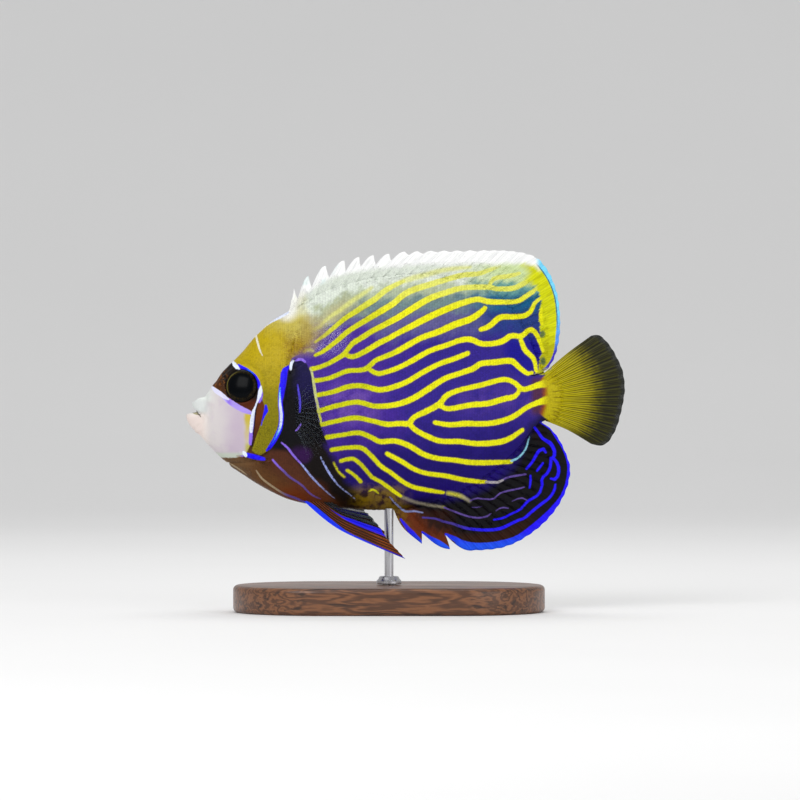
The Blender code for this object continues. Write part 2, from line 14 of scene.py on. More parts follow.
import bmesh
import bpy
import numpy as np
from mathutils import Matrix, Vector
from mathutils.bvhtree import BVHTree


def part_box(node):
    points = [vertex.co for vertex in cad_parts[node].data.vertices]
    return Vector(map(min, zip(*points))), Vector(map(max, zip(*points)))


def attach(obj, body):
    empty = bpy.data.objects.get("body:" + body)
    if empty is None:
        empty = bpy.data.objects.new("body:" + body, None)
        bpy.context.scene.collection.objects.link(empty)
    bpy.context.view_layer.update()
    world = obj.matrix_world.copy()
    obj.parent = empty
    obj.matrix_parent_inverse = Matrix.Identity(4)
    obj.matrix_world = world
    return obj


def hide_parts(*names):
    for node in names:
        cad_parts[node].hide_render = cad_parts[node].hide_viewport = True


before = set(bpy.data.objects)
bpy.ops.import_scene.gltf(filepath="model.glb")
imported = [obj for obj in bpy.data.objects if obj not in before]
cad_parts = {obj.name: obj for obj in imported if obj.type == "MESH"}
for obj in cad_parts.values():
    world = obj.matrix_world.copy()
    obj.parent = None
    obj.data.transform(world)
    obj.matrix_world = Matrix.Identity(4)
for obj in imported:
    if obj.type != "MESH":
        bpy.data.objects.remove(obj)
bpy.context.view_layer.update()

logging.basicConfig(level=logging.INFO, format="%(message)s")
LOG = logging.getLogger("angelfish")

Array = np.ndarray
Number = float | Array
Shape = Callable[[Array, Array], Array]
Outline = tuple[Array, Array, Array]  # root points, margin points and ray counts
Point = tuple[float, float]
Mark = tuple[float, float, float]  # a point of a painted line and the line's half width there, in pixels
Colour = tuple[float, float, float]

MM = 0.001
TOTAL_LENGTH = 0.146
FIN_CLEARANCE = 0.009
BASE_SIZE = (0.104, 0.060, 0.009)
SNOUT_PX, TAIL_END_PX, LOWEST_FIN_PX = 187, 625, 558
MIDDLE_PX = (SNOUT_PX + TAIL_END_PX) / 2
PIXEL = TOTAL_LENGTH / (TAIL_END_PX - SNOUT_PX)
FLOOR_PX = LOWEST_FIN_PX + (FIN_CLEARANCE + BASE_SIZE[2]) / PIXEL
PICTURE_PX = 800

# The body's stations, as in the solids: widest point, back, belly, half width in mm, lens above and below
STATIONS = [
    ((204, 412.5), (203, 411.5), (203, 413.5), 0.8, 0.5, 0.5),
    ((201, 413.0), (195.5, 407.8), (192.5, 412.8), 2.1, 0.5, 0.5),
    ((199.6, 413.3), (192, 404.2), (187.4, 413.5), 2.7, 0.45, 0.45),
    ((200.5, 413.8), (197.5, 399.4), (188.4, 420.5), 3.3, 0.45, 0.45),
    ((203, 414), (204.8, 397), (193, 428), 3.4, 0.5, 0.5),
    ((207.5, 414), (209, 392), (200, 435.5), 4.3, 0.5, 0.5),
    ((214, 414), (214.5, 383.5), (208.3, 445.3), 5.5, 0.5, 0.5),
    ((222, 413), (222, 372), (216.5, 454), 6.6, 0.5, 0.5),
    ((231, 411), (231.5, 362.6), (226, 462), 7.6, 0.52, 0.5),
    ((242, 408), (242, 352), (239, 471.5), 8.5, 0.55, 0.5),
    ((256, 406), (256, 335.4), (254, 482), 9.4, 0.58, 0.5),
    ((271, 406), (271, 321.5), (271, 491.6), 10.1, 0.6, 0.5),
    ((289, 406), (289, 311), (289, 499.5), 10.7, 0.65, 0.52),
    ((311, 406), (311, 299), (311, 504.5), 11.0, 0.7, 0.54),
    ((341, 405), (341, 287), (341, 508), 11.0, 0.75, 0.56),
    ((376, 403), (376, 279), (376, 510), 10.4, 0.8, 0.6),
    ((411, 401), (411, 275.5), (411, 508), 9.2, 0.8, 0.65),
    ((445, 399.5), (445, 277.5), (445, 498.5), 7.5, 0.8, 0.7),
    ((478, 398.5), (478, 286.5), (476, 483), 5.8, 0.75, 0.7),
    ((505, 398), (505, 303), (502, 464.5), 4.4, 0.7, 0.65),
    ((525, 398), (525, 329), (521, 446), 3.5, 0.6, 0.6),
    ((538, 398), (537.5, 357), (535, 428.5), 3.0, 0.5, 0.5),
    ((547, 397.5), (546.5, 375), (545, 420.8), 2.5, 0.5, 0.5),
    ((555, 397), (555.5, 373), (555, 422.5), 1.5, 0.5, 0.5),
    ((561, 397), (561.5, 381), (561, 414), 0.8, 0.5, 0.5),
]

GILL_LINE = [
    (293, 345), (291, 355), (288, 366), (285, 400), (281.5, 424), (274.5, 441), (265.5, 455.5),
    (250, 462.5), (232, 463.5), (214, 466),
]
EYE_PX = (241.8, 385.3)
EYE_RADIUS = 0.0057
EYE_HALF_DEPTH = 0.0024
EYE_SUNK = 0.0009
EYE_TURN = (15, 12)
EYE_RIM_PX = 16.0
NOSTRILS_PX = ((220.5, 383.5), (225.5, 377.5))

DORSAL_TIPS = [
    (294, 288.7), (308.6, 276.2), (325.8, 265.9), (344.5, 260.6), (359.2, 257.1), (373.6, 255.4),
    (389.3, 253.8), (404.9, 251.8), (417.8, 251.3), (431.6, 250.9), (444.8, 250.7), (457.8, 250.6),
    (471, 250.4), (484.6, 250.4),
]
DORSAL_NOTCHES = [
    (297.8, 299.5), (311.7, 287.4), (329.2, 277.9), (345.9, 271.3), (360.8, 266.9), (375.9, 265.0),
    (391.2, 261.1), (409.0, 255.4), (423.2, 254.0), (437.6, 252.6), (451.0, 252.2), (464.0, 252.0),
    (477.6, 251.8),
]
DORSAL_SPINE_ROOTS = ((286.5, 319), (311, 306), (341, 294), (376, 286), (411, 283), (446, 285))
DORSAL_SOFT_ROOTS = ((478, 295), (503, 312), (521, 336), (531, 362), (533, 372))
DORSAL_SOFT_MARGIN = (
    (506, 250.7), (524, 253), (537.5, 258.2), (547, 269), (554, 283), (558.6, 300), (560.3, 320),
    (559.4, 338), (555.6, 355), (548.8, 367.6), (540.5, 373.6),
)
ANAL_SPINE_ROOTS = ((391, 503), (404, 502), (418, 498))
ANAL_SPINE_TIPS = ((421.9, 544), (450, 549.2), (471, 550.8))
ANAL_NOTCHES = ((422, 532.5), (445.3, 534.5))
ANAL_SOFT_ROOTS = ((450, 488), (476, 474), (500, 456), (518, 439), (529, 426), (532, 419))
ANAL_SOFT_MARGIN = (
    (490, 549.8), (504, 547.4), (520, 540.8), (537, 529.4), (550, 517), (560.5, 502.5), (568, 485.5),
    (570.5, 469), (567, 455.5), (559, 438.8), (550, 428), (541, 422),
)
TAIL_ROOTS = ((542, 375), (547, 384.5), (549.5, 397), (547, 409.5), (542, 419.5))
TAIL_MARGIN = (
    (591, 335.8), (596.6, 334.6), (601.5, 336.5), (607, 341.8), (613, 350), (618.2, 359.8), (622, 368.3),
    (624, 377), (625, 389),
    (623.4, 402), (620.6, 414.6), (617, 427), (611, 438.5), (605, 444.6), (598, 445.6), (591, 443.8),
)
SOFT_RAYS = 20
TAIL_RAYS = 15
NOTCH_SHARE = 0.3  # of the way from one spine to the next
DORSAL_START_PX, ANAL_START_PX, MIDDLE_FINS_END_PX = (288, 304), (396, 410), (543, 530)
PECTORAL_RAYS = 14
PECTORAL_BASE_PX = ((295.5, 400), (298, 431))
PECTORAL_LENGTHS = (0.014, 0.021, 0.0245, 0.025, 0.024, 0.0215, 0.0175, 0.0125)
PECTORAL_FAN = (28, -44)
PECTORAL_SPREAD = 62
PECTORAL_CUP = 0.05
PECTORAL_SUNK = 0.0025
PELVIC_RAYS = 10
PELVIC_ROOT_PX = ((303, 500), (332, 503))
PELVIC_TIPS_PX = ((406.5, 558), (400, 550.5), (392.5, 542.5), (385.5, 533), (379, 523), (370, 512.5))
PELVIC_ROOT_Y = 0.0016
PELVIC_BOW = 0.048
PELVIC_LEAD_BOW = 0.012  # on top of it at the leading edge
PELVIC_SCALLOP = 1.2
PELVIC_SPREAD = {"left": (9, 0), "right": (37, 9)}
PELVIC_SLANT = 0.0022
ROD_TOP_PX = (389, 500)
ROD_RADIUS = 0.0015
COLLAR_RADIUS = 0.0042
COLLAR_HEIGHT = 0.0026
GAP = 0.0003

FIN_ROOT_HALF = 0.00095  # half a middle fin's thickness where it leaves the back or the belly
FIN_FILLET = 0.0012  # over which the flank eases into the fin


class Layer(Enum):
    """The painted layers that a surface carries as distances, in pixels of the side view."""

    YELLOW = "yellow"
    FAINT = "faint"
    PALE = "pale"
    VIOLET = "violet"
    BLUE = "blue"
    AZURE = "azure"
    MUZZLE = "muzzle"
    MASK = "mask"
    GOLD = "gold"
    WEDGE = "wedge"
    BAR = "bar"
    REAR = "rear"
    ANAL = "anal"
    CHEST = "chest"
    DARK = "dark"
    DORSAL_EDGE = "dorsal_edge"
    ANAL_EDGE = "anal_edge"


LINES: dict[Layer, list[list[Mark]]] = {
    Layer.YELLOW: [
        [(315.1, 341.9, 1.2), (321.5, 337.3, 1.6), (328.7, 332, 2), (336.4, 325.3, 2.2),
         (345.9, 317.6, 2.4), (355.4, 311.6, 2.6), (365.1, 305.2, 2.9), (375.4, 298.7, 2.9),
         (384.4, 291.1, 2.8), (394.2, 285.5, 2.4), (403.9, 281, 1.6)],
        [(315.4, 354.9, 1.5), (323.1, 351.2, 1.9), (330.7, 345.6, 2.1), (338.7, 339.3, 2.3),
         (346.8, 332.2, 2.5), (354.2, 327.1, 2.5), (363.8, 321.3, 2.6), (373.3, 315.6, 2.8),
         (383.4, 309.6, 3), (393.6, 303.2, 3), (402, 295.8, 3), (412.3, 290.1, 3.1), (429.1, 284.7, 3.1),
         (446.3, 279.5, 2.8), (462.7, 275.2, 2.7), (479.4, 273.4, 2.4), (492.1, 268.8, 2),
         (500, 266, 1.2)],
        [(312, 368.5, 2.4), (319.5, 366.7, 2.1), (329.4, 362.7, 2.1), (336.9, 358.4, 2.2),
         (343.9, 354, 2.4), (349.3, 347, 2.2), (353.4, 342.6, 2.5), (362.2, 337.2, 2.6),
         (371.1, 331.4, 2.6), (381.6, 326, 2.7), (391.4, 320.9, 2.9), (401.1, 315.5, 3), (415, 306.8, 3.1),
         (429.8, 298.2, 3.1), (446.4, 292.4, 2.9), (462.9, 287.8, 2.7), (487.7, 287.1, 2.7),
         (496.2, 288.8, 2.4), (512.4, 288.4, 2.7), (520.9, 284.9, 2.7), (527.8, 281, 2.2),
         (532.5, 276, 1.7)],
        [(489, 286.5, 1.6), (494.2, 278.6, 2.2), (509.1, 276, 2.3), (519.3, 273.3, 1.6)],
        [(345, 354.5, 1.5), (348.9, 355.8, 2.2), (353.9, 356.3, 2.4), (363.2, 352.1, 2.5),
         (370.3, 347.9, 2.6), (379.2, 342.6, 2.7), (388.8, 338, 2.6), (398.5, 332.5, 2.6),
         (412.5, 325.4, 3), (428.5, 317.1, 3.2), (445.7, 309.3, 3.2), (463.1, 302.6, 3),
         (477.8, 299.2, 2.7), (487.8, 301.5, 2.8), (502, 302, 2.5), (517.4, 301.2, 2.3),
         (526.8, 295.6, 2.5), (533.6, 291, 2.1), (539, 286, 1.4)],
        [(313.7, 380.2, 2.4), (323.7, 378.9, 2), (331.7, 376.8, 2.1), (341.5, 372.7, 2.2),
         (348.5, 370.2, 2.3), (358, 369.8, 2.2), (365.5, 368.6, 2.5), (370.7, 364.6, 2.3),
         (375.5, 360, 2.2), (383.3, 356.8, 2.4), (392.6, 353.1, 2.5), (401.7, 348.4, 2.8),
         (420.7, 337.8, 2.7), (437.6, 331.9, 3), (455.2, 324.2, 3.3), (469.7, 319.2, 3.2),
         (479.6, 313, 2.7), (484.8, 308, 2.2)],
        [(480.6, 329.3, 2.2), (489.3, 326, 2.6), (499.8, 317.4, 2.8), (512.6, 316.8, 2.5),
         (524.1, 315.8, 2.5), (530.8, 311.2, 2.2), (534.3, 303.6, 1.9), (540, 298.5, 1.6)],
        [(368.1, 367, 2), (372.1, 370.8, 2.1), (378.2, 373.2, 2.4), (384.5, 372, 2.3), (394.3, 368.9, 2.4),
         (404.4, 364.4, 2.4), (413, 359.8, 2.6), (429.5, 350.6, 2.5), (446.5, 344.9, 2.5),
         (459.9, 340.1, 2.6), (471, 339.2, 2.8), (481.3, 343.6, 2.6), (495.9, 342.9, 2.7),
         (503.8, 340.3, 2.8), (511.3, 335.4, 2.7), (521, 336.2, 2.4), (529.3, 329.8, 2.5),
         (535, 332.1, 2.3), (539.1, 339.8, 2), (542.9, 350.9, 1.4)],
        [(520.8, 339.8, 2), (524.9, 349.9, 2.5), (533.7, 358.8, 2.2), (536, 370.7, 1.6)],
        [(541.5, 309, 1.2), (540.5, 316, 2), (542, 324, 1.4)],
        [(316.8, 394.6, 2), (332.7, 391.4, 2.2), (341.4, 388.3, 2.4), (348.6, 386, 2.5), (359.8, 385, 2.5),
         (369.4, 386.9, 2.5), (379.1, 389.3, 2.7), (389, 387.8, 2.6), (399.2, 384.5, 2.6),
         (409.2, 380.1, 2.5), (421.5, 372.6, 2.5), (438.5, 363.8, 2.4), (454.8, 358.2, 2.5),
         (467.7, 352.9, 2.3)],
        [(318.8, 410.4, 2.2), (339.1, 404.5, 2.4), (358, 401.4, 2.4), (375.1, 405.5, 2.5),
         (394.6, 404.2, 2.7), (410.7, 399, 2.9), (426.7, 389.6, 2.9), (443.6, 378.7, 2.7),
         (460.3, 372.8, 2.6), (473.9, 368, 2.8), (479.9, 363.6, 2.7), (495, 362, 2.8), (510.8, 360.6, 2.9),
         (517.7, 365.9, 2.5), (526.6, 373.2, 2.1), (531.9, 372.5, 1.6)],
        [(321, 424, 2.2), (338.9, 419.8, 2.2), (356, 417, 2.4), (372.4, 420.2, 2.3), (387, 423.6, 2.6),
         (400, 422.7, 2.6), (409.4, 423.2, 2.8), (413.5, 416.9, 2.5), (426.7, 410.5, 2.8),
         (437.8, 404.6, 2.9), (442, 400.3, 2.7), (447.2, 394.6, 2.7), (459.9, 389.5, 2.4),
         (479.8, 385, 2.5), (502.8, 379.3, 2.4), (514.2, 382.4, 2.3), (521.4, 389, 2.6), (529.2, 388, 2.5),
         (536, 385.5, 2.8), (544, 383.5, 3.5)],
        [(438.4, 403.2, 2.2), (444, 407.5, 2.3), (451.3, 408.1, 2.5), (471.2, 404.4, 2.7),
         (487.4, 403.2, 2.8), (504.4, 398.5, 2.8), (513, 396.8, 2.6), (517.5, 393.5, 2), (519, 389, 1.8)],
        [(409.3, 422.6, 2.4), (415.5, 429.5, 2.5), (430.3, 437.1, 2.6), (441.5, 440.7, 2.5),
         (459.6, 441.1, 2.6), (476.2, 443.3, 2.6), (496, 442.3, 2.8), (508.8, 438.7, 2.6),
         (522.3, 429.8, 2)],
        [(434.8, 422, 2.2), (449.7, 424.3, 2.5), (466.2, 423.1, 2.8), (479.5, 423.5, 2.6),
         (495.8, 422.1, 2.7), (512.7, 416.6, 2.6), (525.7, 407.7, 2.4), (536, 403, 2.6),
         (545.9, 400, 3.6)],
        [(326.9, 436.5, 2.3), (343.1, 434, 2.1), (358.8, 432, 2.3), (372.4, 437.1, 2.4),
         (380.1, 440.9, 2.5), (395, 440.3, 2.5), (408.9, 445, 2.6), (423.6, 453.8, 2.6), (438, 458, 2.4),
         (454.6, 459.8, 2.4), (472.9, 462.3, 2.6), (496, 462.3, 2.4), (510.9, 461.5, 1.9)],
        [(387.1, 453, 2.2), (400.5, 460.2, 2.3), (413.7, 468.4, 2.2), (426.7, 472.9, 2.2),
         (446.4, 475.7, 2.3), (462.9, 479.5, 2.3), (478, 481.5, 2), (486, 481.8, 1.4)],
        [(332, 449, 2.1), (345.9, 447, 2), (361, 446.9, 2.2), (369.4, 453.1, 2.2), (380.9, 465.3, 2.1),
         (390.7, 471.9, 2.1), (402.7, 481.1, 2.1), (413.7, 486.7, 2.1), (429.9, 490.2, 2.1),
         (443.1, 492.4, 1.6)],
        [(341, 460.2, 1.8), (352, 457.8, 1.9), (359.1, 461.9, 1.9), (367.2, 470.8, 1.8),
         (372.5, 476.9, 1.8), (380.9, 481.3, 1.8), (393.5, 490.7, 1.9), (401, 496, 1.4)],
        [(334, 462, 0.9), (338.8, 471.1, 0.9), (344.7, 476.3, 1.1)],
        [(347.4, 469.7, 1.6), (354.6, 474.5, 1.5), (360.9, 481.1, 1.8)],
        [(368.8, 491, 0.7), (372.7, 488.6, 1), (378.5, 492.9, 0.8)],
    ],
    Layer.FAINT: [
        [(313.5, 329, 0.9), (319.7, 326.6, 1.3), (323.6, 322.3, 1.5), (331, 316, 1.7), (337, 312.2, 1.9),
         (343, 308, 2), (350, 302.5, 2.1), (356.1, 298.4, 2.1), (364.7, 292.6, 1.9), (372, 287.4, 1.4)],
        [(398, 283, 2), (403.9, 281, 2.6), (413.5, 277.8, 2.7), (423.7, 275.5, 2.6), (441, 270.7, 2.4),
         (455, 268.5, 2), (470, 267, 1.6)],
        [(304.5, 351, 1), (309, 349, 1.6), (313, 350.5, 1.2)],
        [(447.7, 493, 1.6), (457.9, 494.9, 1.8), (463, 496.9, 1.6), (469.5, 501, 1.1)],
        [(399, 495, 1.1), (407, 498.7, 1.2), (417, 502.5, 1), (432, 505.4, 0.8), (443.8, 507.3, 0.7)],
    ],
    Layer.PALE: [
        [(256, 335.6, 0.9), (257.8, 342, 1.0), (259.6, 348.5, 0.8), (261.6, 353, 0.7), (263.2, 356, 0.3)],
        [(232.8, 361.5, 1), (235, 364.6, 2), (237.8, 367.6, 1.7), (239.8, 368.8, 0.8)],
        [(261.5, 385.3, 0.6), (261, 390, 1.9), (259.8, 395.5, 1.7), (258.2, 400.5, 0.8), (256.2, 405, 0.7),
         (255, 408.5, 1)],
        [(254.2, 410, 1.4), (253, 417, 1.8), (252, 424, 1.8), (251.5, 431, 1.4)],
        [(280.6, 387, 0.5), (280.3, 396, 0.8), (280.7, 405, 1.2), (281.6, 413, 1.4), (281.6, 420, 1.3),
         (280.2, 427.5, 1.1), (277, 435, 0.8), (273, 441.8, 0.6), (270.5, 445, 0.3)],
        [(291, 369, 1.1), (291.6, 363.5, 1.4), (293.4, 360.3, 1.1)],
        [(212.4, 387.2, 1.2), (215, 389.8, 2.1), (220, 393, 2.2), (225, 396.6, 1.8), (229, 399, 0.8)],
        [(243.4, 450.8, 0.5), (245, 453, 1.9), (246, 455, 1.6)],
        [(311, 368, 0.9), (313, 375, 1.1), (314.5, 385, 1.3), (316, 395, 1.3), (318, 405, 1.2),
         (320, 415, 1.2), (322, 423.5, 0.9)],
        [(301.5, 463, 0.8), (313, 477.5, 0.9), (326.5, 491, 0.7), (336, 498.7, 0.3)],
        [(320.8, 456.3, 0.6), (328.5, 470.8, 1), (338, 484.2, 0.8), (349.6, 493.8, 0.6),
         (356, 499.6, 0.3)],
        # along the outline of the forehead and nape: a painted rim highlight
        [(256.5, 334.8, 0.4), (263, 328, 0.9), (269.5, 322.2, 1.4), (279.5, 317, 1.8), (287, 312, 2.2)],
        [(511.5, 461, 1.1), (517.9, 458, 0.9), (523, 453, 0.8), (526.5, 447, 0.8), (528.3, 440, 0.7),
         (529.8, 436, 0.4)],
        [(390, 496.7, 0.7), (397.7, 505.4, 0.9), (405.4, 511.5, 0.9), (413, 511, 0.9),
         (422.7, 512.7, 0.6)],
        [(486, 482, 1.2), (497.7, 482.3, 1.2), (503, 480, 0.9)],
    ],
    Layer.VIOLET: [
        [(502, 480, 0.9), (507.3, 477.5, 1), (517, 475.6, 1), (525.6, 474.2, 0.9)],
        [(469.8, 501, 0.9), (476.5, 498.2, 1), (486, 499.2, 1), (493.8, 498.7, 1), (499.6, 493.4, 1),
         (509, 490.6, 1.1), (520.8, 488.2, 1), (524.6, 487, 0.8)],
        [(471.7, 507.3, 0.5), (477, 507.5, 0.8), (482, 506.3, 0.5)],
        [(443.8, 507.3, 1), (455.4, 512, 1.1), (467, 516, 1.1), (478.5, 517.9, 1.1), (488, 516, 1),
         (491, 513.6, 0.7)],
        [(512, 501.5, 0.6), (520.8, 497.7, 0.9), (527.5, 500.6, 0.8)],
        [(495.8, 511, 0.7), (501.5, 507.5, 0.9), (508.3, 508.3, 0.8)],
        [(282, 442, 0.8), (288, 447, 1), (294, 455, 1), (301.5, 463, 0.8)],
        [(273, 459, 0.9), (278, 465, 1), (284, 470.5, 1), (290, 476.5, 1), (301.5, 484.2, 0.9),
         (311, 493.8, 0.8), (320.8, 498.7, 0.5)],
        [(224, 460, 0.2), (233, 465, 0.6), (241, 470, 0.6), (247, 474.5, 0.2)],
        [(256.5, 470, 0.5), (262, 478, 0.9), (270, 484.3, 0.9), (284, 493.5, 1), (299, 499.4, 1.1),
         (309, 506.3, 1.2)],
        [(224, 397, 1.6), (229, 400.4, 2.5), (236, 405.2, 2.7), (243, 409, 2.5), (249, 411.4, 2.2),
         (252, 412.6, 1.4)],
        [(262.6, 392, 0.8), (261.6, 397, 1.4), (259.8, 401.5, 0.9)],
        [(251.7, 427, 1.9), (251.6, 435, 2), (250.8, 443, 1.7)],
        [(255, 411, 1.2), (254.3, 420, 0.9), (253, 430, 0.7)],
        [(237, 455.6, 0.4), (243, 455.6, 0.9)],
        [(296, 360.3, 0.7), (299, 359, 1.3), (302.5, 358.9, 1.3), (305.5, 361.5, 1)],
        [(298, 384, 0.6), (299, 390, 0.9), (300, 397, 1), (300.5, 405, 1), (300, 412, 0.6)],
        [(295.4, 430.4, 0.3), (298.5, 427.8, 0.9), (302, 422, 0.3)],
    ],
    Layer.BLUE: [
        [(238.8, 364.8, 1), (243, 367.3, 1.5), (248, 369.5, 1.3)],
        [(252.5, 372.5, 1.2), (256, 376.5, 1.6), (258.5, 381.5, 1.9), (259.5, 386, 1.8)],
        [(288.5, 366.5, 1.4), (285.5, 369, 2.4), (284.3, 375, 3.2), (283.5, 383, 2.8), (283, 391, 2),
         (282.6, 398, 1)],
        [(247.6, 454.4, 2.1), (253, 455.9, 2.5), (259, 457.3, 2.2), (264.3, 458.4, 1.6)],
        [(266.4, 405, 1), (267, 408.5, 2.1), (265.5, 412.5, 1.5), (263.6, 417.5, 0.7), (261.6, 425, 0.3)],
        [(281.3, 384, 1.5), (280.7, 395, 1.9), (281, 405, 2.2), (281.8, 413, 2.3), (281.6, 421, 2.2),
         (280.3, 428, 2.2), (277, 435.5, 2.2), (273, 442.5, 2), (269, 448, 1.5), (267, 450, 0.8)],
        [(422.7, 517.5, 0.8), (436, 518.8, 0.9), (443.8, 521.7, 1), (453.5, 523.9, 1.2), (463, 527.5, 1.3),
         (474.6, 529.4, 1.3), (488, 530, 1.4), (499.6, 528.8, 1.5), (509, 524.8, 1.4), (517, 520.8, 1.3),
         (524.6, 517.9, 1.3), (532.3, 511.2, 1.4), (542, 503.5, 1.4), (549.6, 497.7, 1.3),
         (554.4, 490, 1.2), (555.4, 484.2, 0.9)],
        [(493.8, 519.8, 0.8), (503.5, 517.9, 1), (511, 514, 1), (520.8, 509, 1.1), (527.5, 501.5, 1.2),
         (538, 494.8, 1.2), (542, 486, 1.3), (542, 478.5, 1.3), (547.7, 472.7, 1.4), (550.6, 465, 1.4),
         (550.6, 458, 1.2)],
        [(530.4, 475.6, 0.9), (530.6, 482, 1.1), (529.4, 488, 0.8)],
        [(537, 470.8, 1), (540, 467, 1.2), (543, 463, 0.9)],
        [(526.5, 468.8, 1.1), (532.3, 462, 1.3), (538, 452, 1.5), (543, 448.7, 1.5), (545.8, 452.5, 1)],
        [(534.5, 427.5, 1.1), (538, 432, 1.3), (541, 436.3, 1.3), (543.8, 439.6, 1.5), (549.6, 442.5, 1.8),
         (553.8, 448.7, 1.6), (554.6, 455, 1.5), (551.5, 459, 1.2)],
        [(554.4, 459, 1.3), (558.3, 465.5, 1.5), (558.3, 474.6, 1.5), (554.4, 479.8, 1.4),
         (550.6, 478.5, 0.9)],
        [(552.5, 432, 0.8), (558.8, 441, 1.2), (565.8, 452.5, 1.5), (568.8, 466, 1.5), (567.8, 480.4, 1.7),
         (562.8, 495, 1.8), (553.6, 507.2, 1.9), (542, 518.8, 2.1), (528.6, 530.2, 2.4), (516, 539, 2.7),
         (501.5, 543.6, 3.1), (490, 545.8, 3.4), (474.6, 546.4, 3.6), (463, 543.8, 3.2), (454, 538.6, 2.4),
         (446, 534.6, 1.3)],
        [(400.6, 519.2, 0.8), (406.4, 526.6, 1.7), (413.4, 535, 2.7), (418.8, 541, 2.6),
         (421.8, 544, 1.4)],
        [(422.4, 532.4, 1), (430, 538.4, 2.2), (438.4, 543.6, 3.5), (446, 548.4, 3), (450.4, 550, 1.5)],
    ],
    # painted shade in the mouth's slit, the dark front edge of the wedge along the cheek, and a painted
    # shadow in the gap under the dorsal fin's last lobe
    Layer.DARK: [
        [(196.2, 410.8, 0.5), (198.2, 413, 0.6), (199.8, 415, 0.5), (201, 416.8, 0.2)],
        [(258.5, 402.5, 0.4), (256, 412, 0.6), (255, 424, 0.6), (253.4, 436, 0.5), (252.6, 446, 0.7)],
        [(529, 375.4, 0.4), (536.5, 374.8, 0.8), (544, 372, 0.6)],
    ],
    Layer.AZURE: [
        [(248.3, 369.6, 1.1), (252.8, 373, 1.2)],
    ],
}

AREAS: dict[Layer, list[Point]] = {
    Layer.MUZZLE: [
        (170, 380), (206, 386), (214, 389), (220, 392.5), (225, 396.5), (230, 400), (236, 403.5),
        (240, 406.5), (246, 410), (251.5, 412.5), (251, 420), (250, 430), (250.3, 445), (247, 452),
        (243, 456), (233, 457.5), (222, 457.5), (210, 456), (180, 452),
    ],
    Layer.MASK: [
        (226, 350), (233, 362.5), (236, 368), (240, 370), (249, 371), (255, 377), (258, 384), (259, 392),
        (257, 401), (254.3, 409.5), (251.5, 412.5), (246, 410), (240, 406.5), (236, 403.5), (230, 400),
        (225, 396.5), (220, 392.5), (214, 389), (206, 386), (195, 370),
    ],
    Layer.GOLD: [
        (225, 348), (233, 362.5), (240, 366), (249, 369.5), (256, 375.5), (260.3, 383), (261.5, 392),
        (263, 400), (264.5, 405), (264, 415), (260, 426), (256, 436), (253, 445), (252, 450), (256, 453),
        (261, 454.2), (265.5, 452), (269, 448), (273, 442), (277, 435), (280, 427), (281, 413), (280, 400),
        (280.5, 386), (281, 372), (284, 369), (289.5, 364), (292, 359), (300, 355), (310, 349), (314, 335),
        (312, 318), (305, 303), (285, 285), (245, 315),
    ],
    Layer.WEDGE: [
        (258, 403), (263, 400), (264.8, 405), (264, 415), (260.5, 425), (256.5, 436), (254, 444),
        (252.3, 449), (252.5, 440), (253.5, 428), (254.5, 415), (256.5, 408),
    ],
    Layer.REAR: [
        (526, 265), (545, 262), (570, 275), (575, 330), (562, 365), (545, 374), (536, 374.5), (538.5, 366),
        (541.5, 352), (540.5, 341), (539.5, 326), (539.5, 312), (541, 301), (539, 292), (536, 286),
        (528.5, 280), (531, 274), (529, 269),
    ],
    Layer.ANAL: [
        (392, 505), (425, 502), (450, 501), (468, 498), (484, 491), (497, 482), (509, 474), (518, 465),
        (521, 456), (525, 447), (529, 437), (534, 426), (541, 417), (560, 415), (620, 470), (580, 560),
        (480, 590), (392, 560),
    ],
    Layer.CHEST: [
        (215, 452), (235, 452), (246, 436), (260, 428), (284, 424), (296, 420), (312, 412), (319, 424),
        (324, 436), (330, 450), (338, 466), (348, 480), (360, 492), (374, 500), (340, 530), (260, 520),
        (215, 480),
    ],
    Layer.BAR: [
        (288.5, 371), (290, 363), (293, 359.5), (299, 358.3), (304.5, 360), (308, 365), (311.5, 373),
        (313, 381), (314, 390), (315.5, 400), (317.5, 411), (320, 422), (324, 434), (329, 447), (318, 450),
        (300, 452), (283, 450), (272, 453), (268, 452), (273, 444), (278, 436), (281.5, 427), (283, 415),
        (283, 402), (286, 388),
    ],
}

EDGES: dict[Layer, list[Point]] = {
    Layer.DORSAL_EDGE: [(285, 305), *DORSAL_TIPS, *DORSAL_SOFT_MARGIN],
    Layer.ANAL_EDGE: [(396, 510), *ANAL_SPINE_TIPS, *ANAL_SOFT_MARGIN],
}

LINE_REACH = 9.0  # pixels past which a line's distance no longer matters
EDGE_REACH = 110.0  # pixels inwards over which a fin's margin is felt
LINE_STEP = 4  # pixels between the points of a smoothed line
EDGE_POINTS = 90


def on_side(px: Number, py: Number) -> tuple[Number, Number]:
    """A side-view pixel as x and z in metres."""
    return (px - MIDDLE_PX) * PIXEL, (FLOOR_PX - py) * PIXEL


def from_picture(seen: Array, y: Number = 0.0) -> Array:
    """Side-view pixels, one row each, as places in metres that lie y beside the middle plane."""
    x, z = on_side(seen[:, 0], seen[:, 1])
    return np.stack((x, y + 0 * x, z), axis=1)


def to_picture(points: Array) -> Array:
    """Places in metres as side-view pixels, one row each."""
    return np.stack((points[:, 0] / PIXEL + MIDDLE_PX, FLOOR_PX - points[:, 2] / PIXEL), axis=1)


def unmarked(points: Sequence[Point]) -> Array:
    """Side-view points as the marks of a line without width."""
    return np.array([(*p, 0) for p in points], float)


def catmull_rom(a: Array, b: Array, c: Array, d: Array, u: Array) -> Array:
    """The piece from b to c of the smooth curve through a, b, c and d."""
    return 0.5 * (2 * b + (c - a) * u + (2 * a - 5 * b + 4 * c - d) * u**2 + (3 * b - a - 3 * c + d) * u**3)


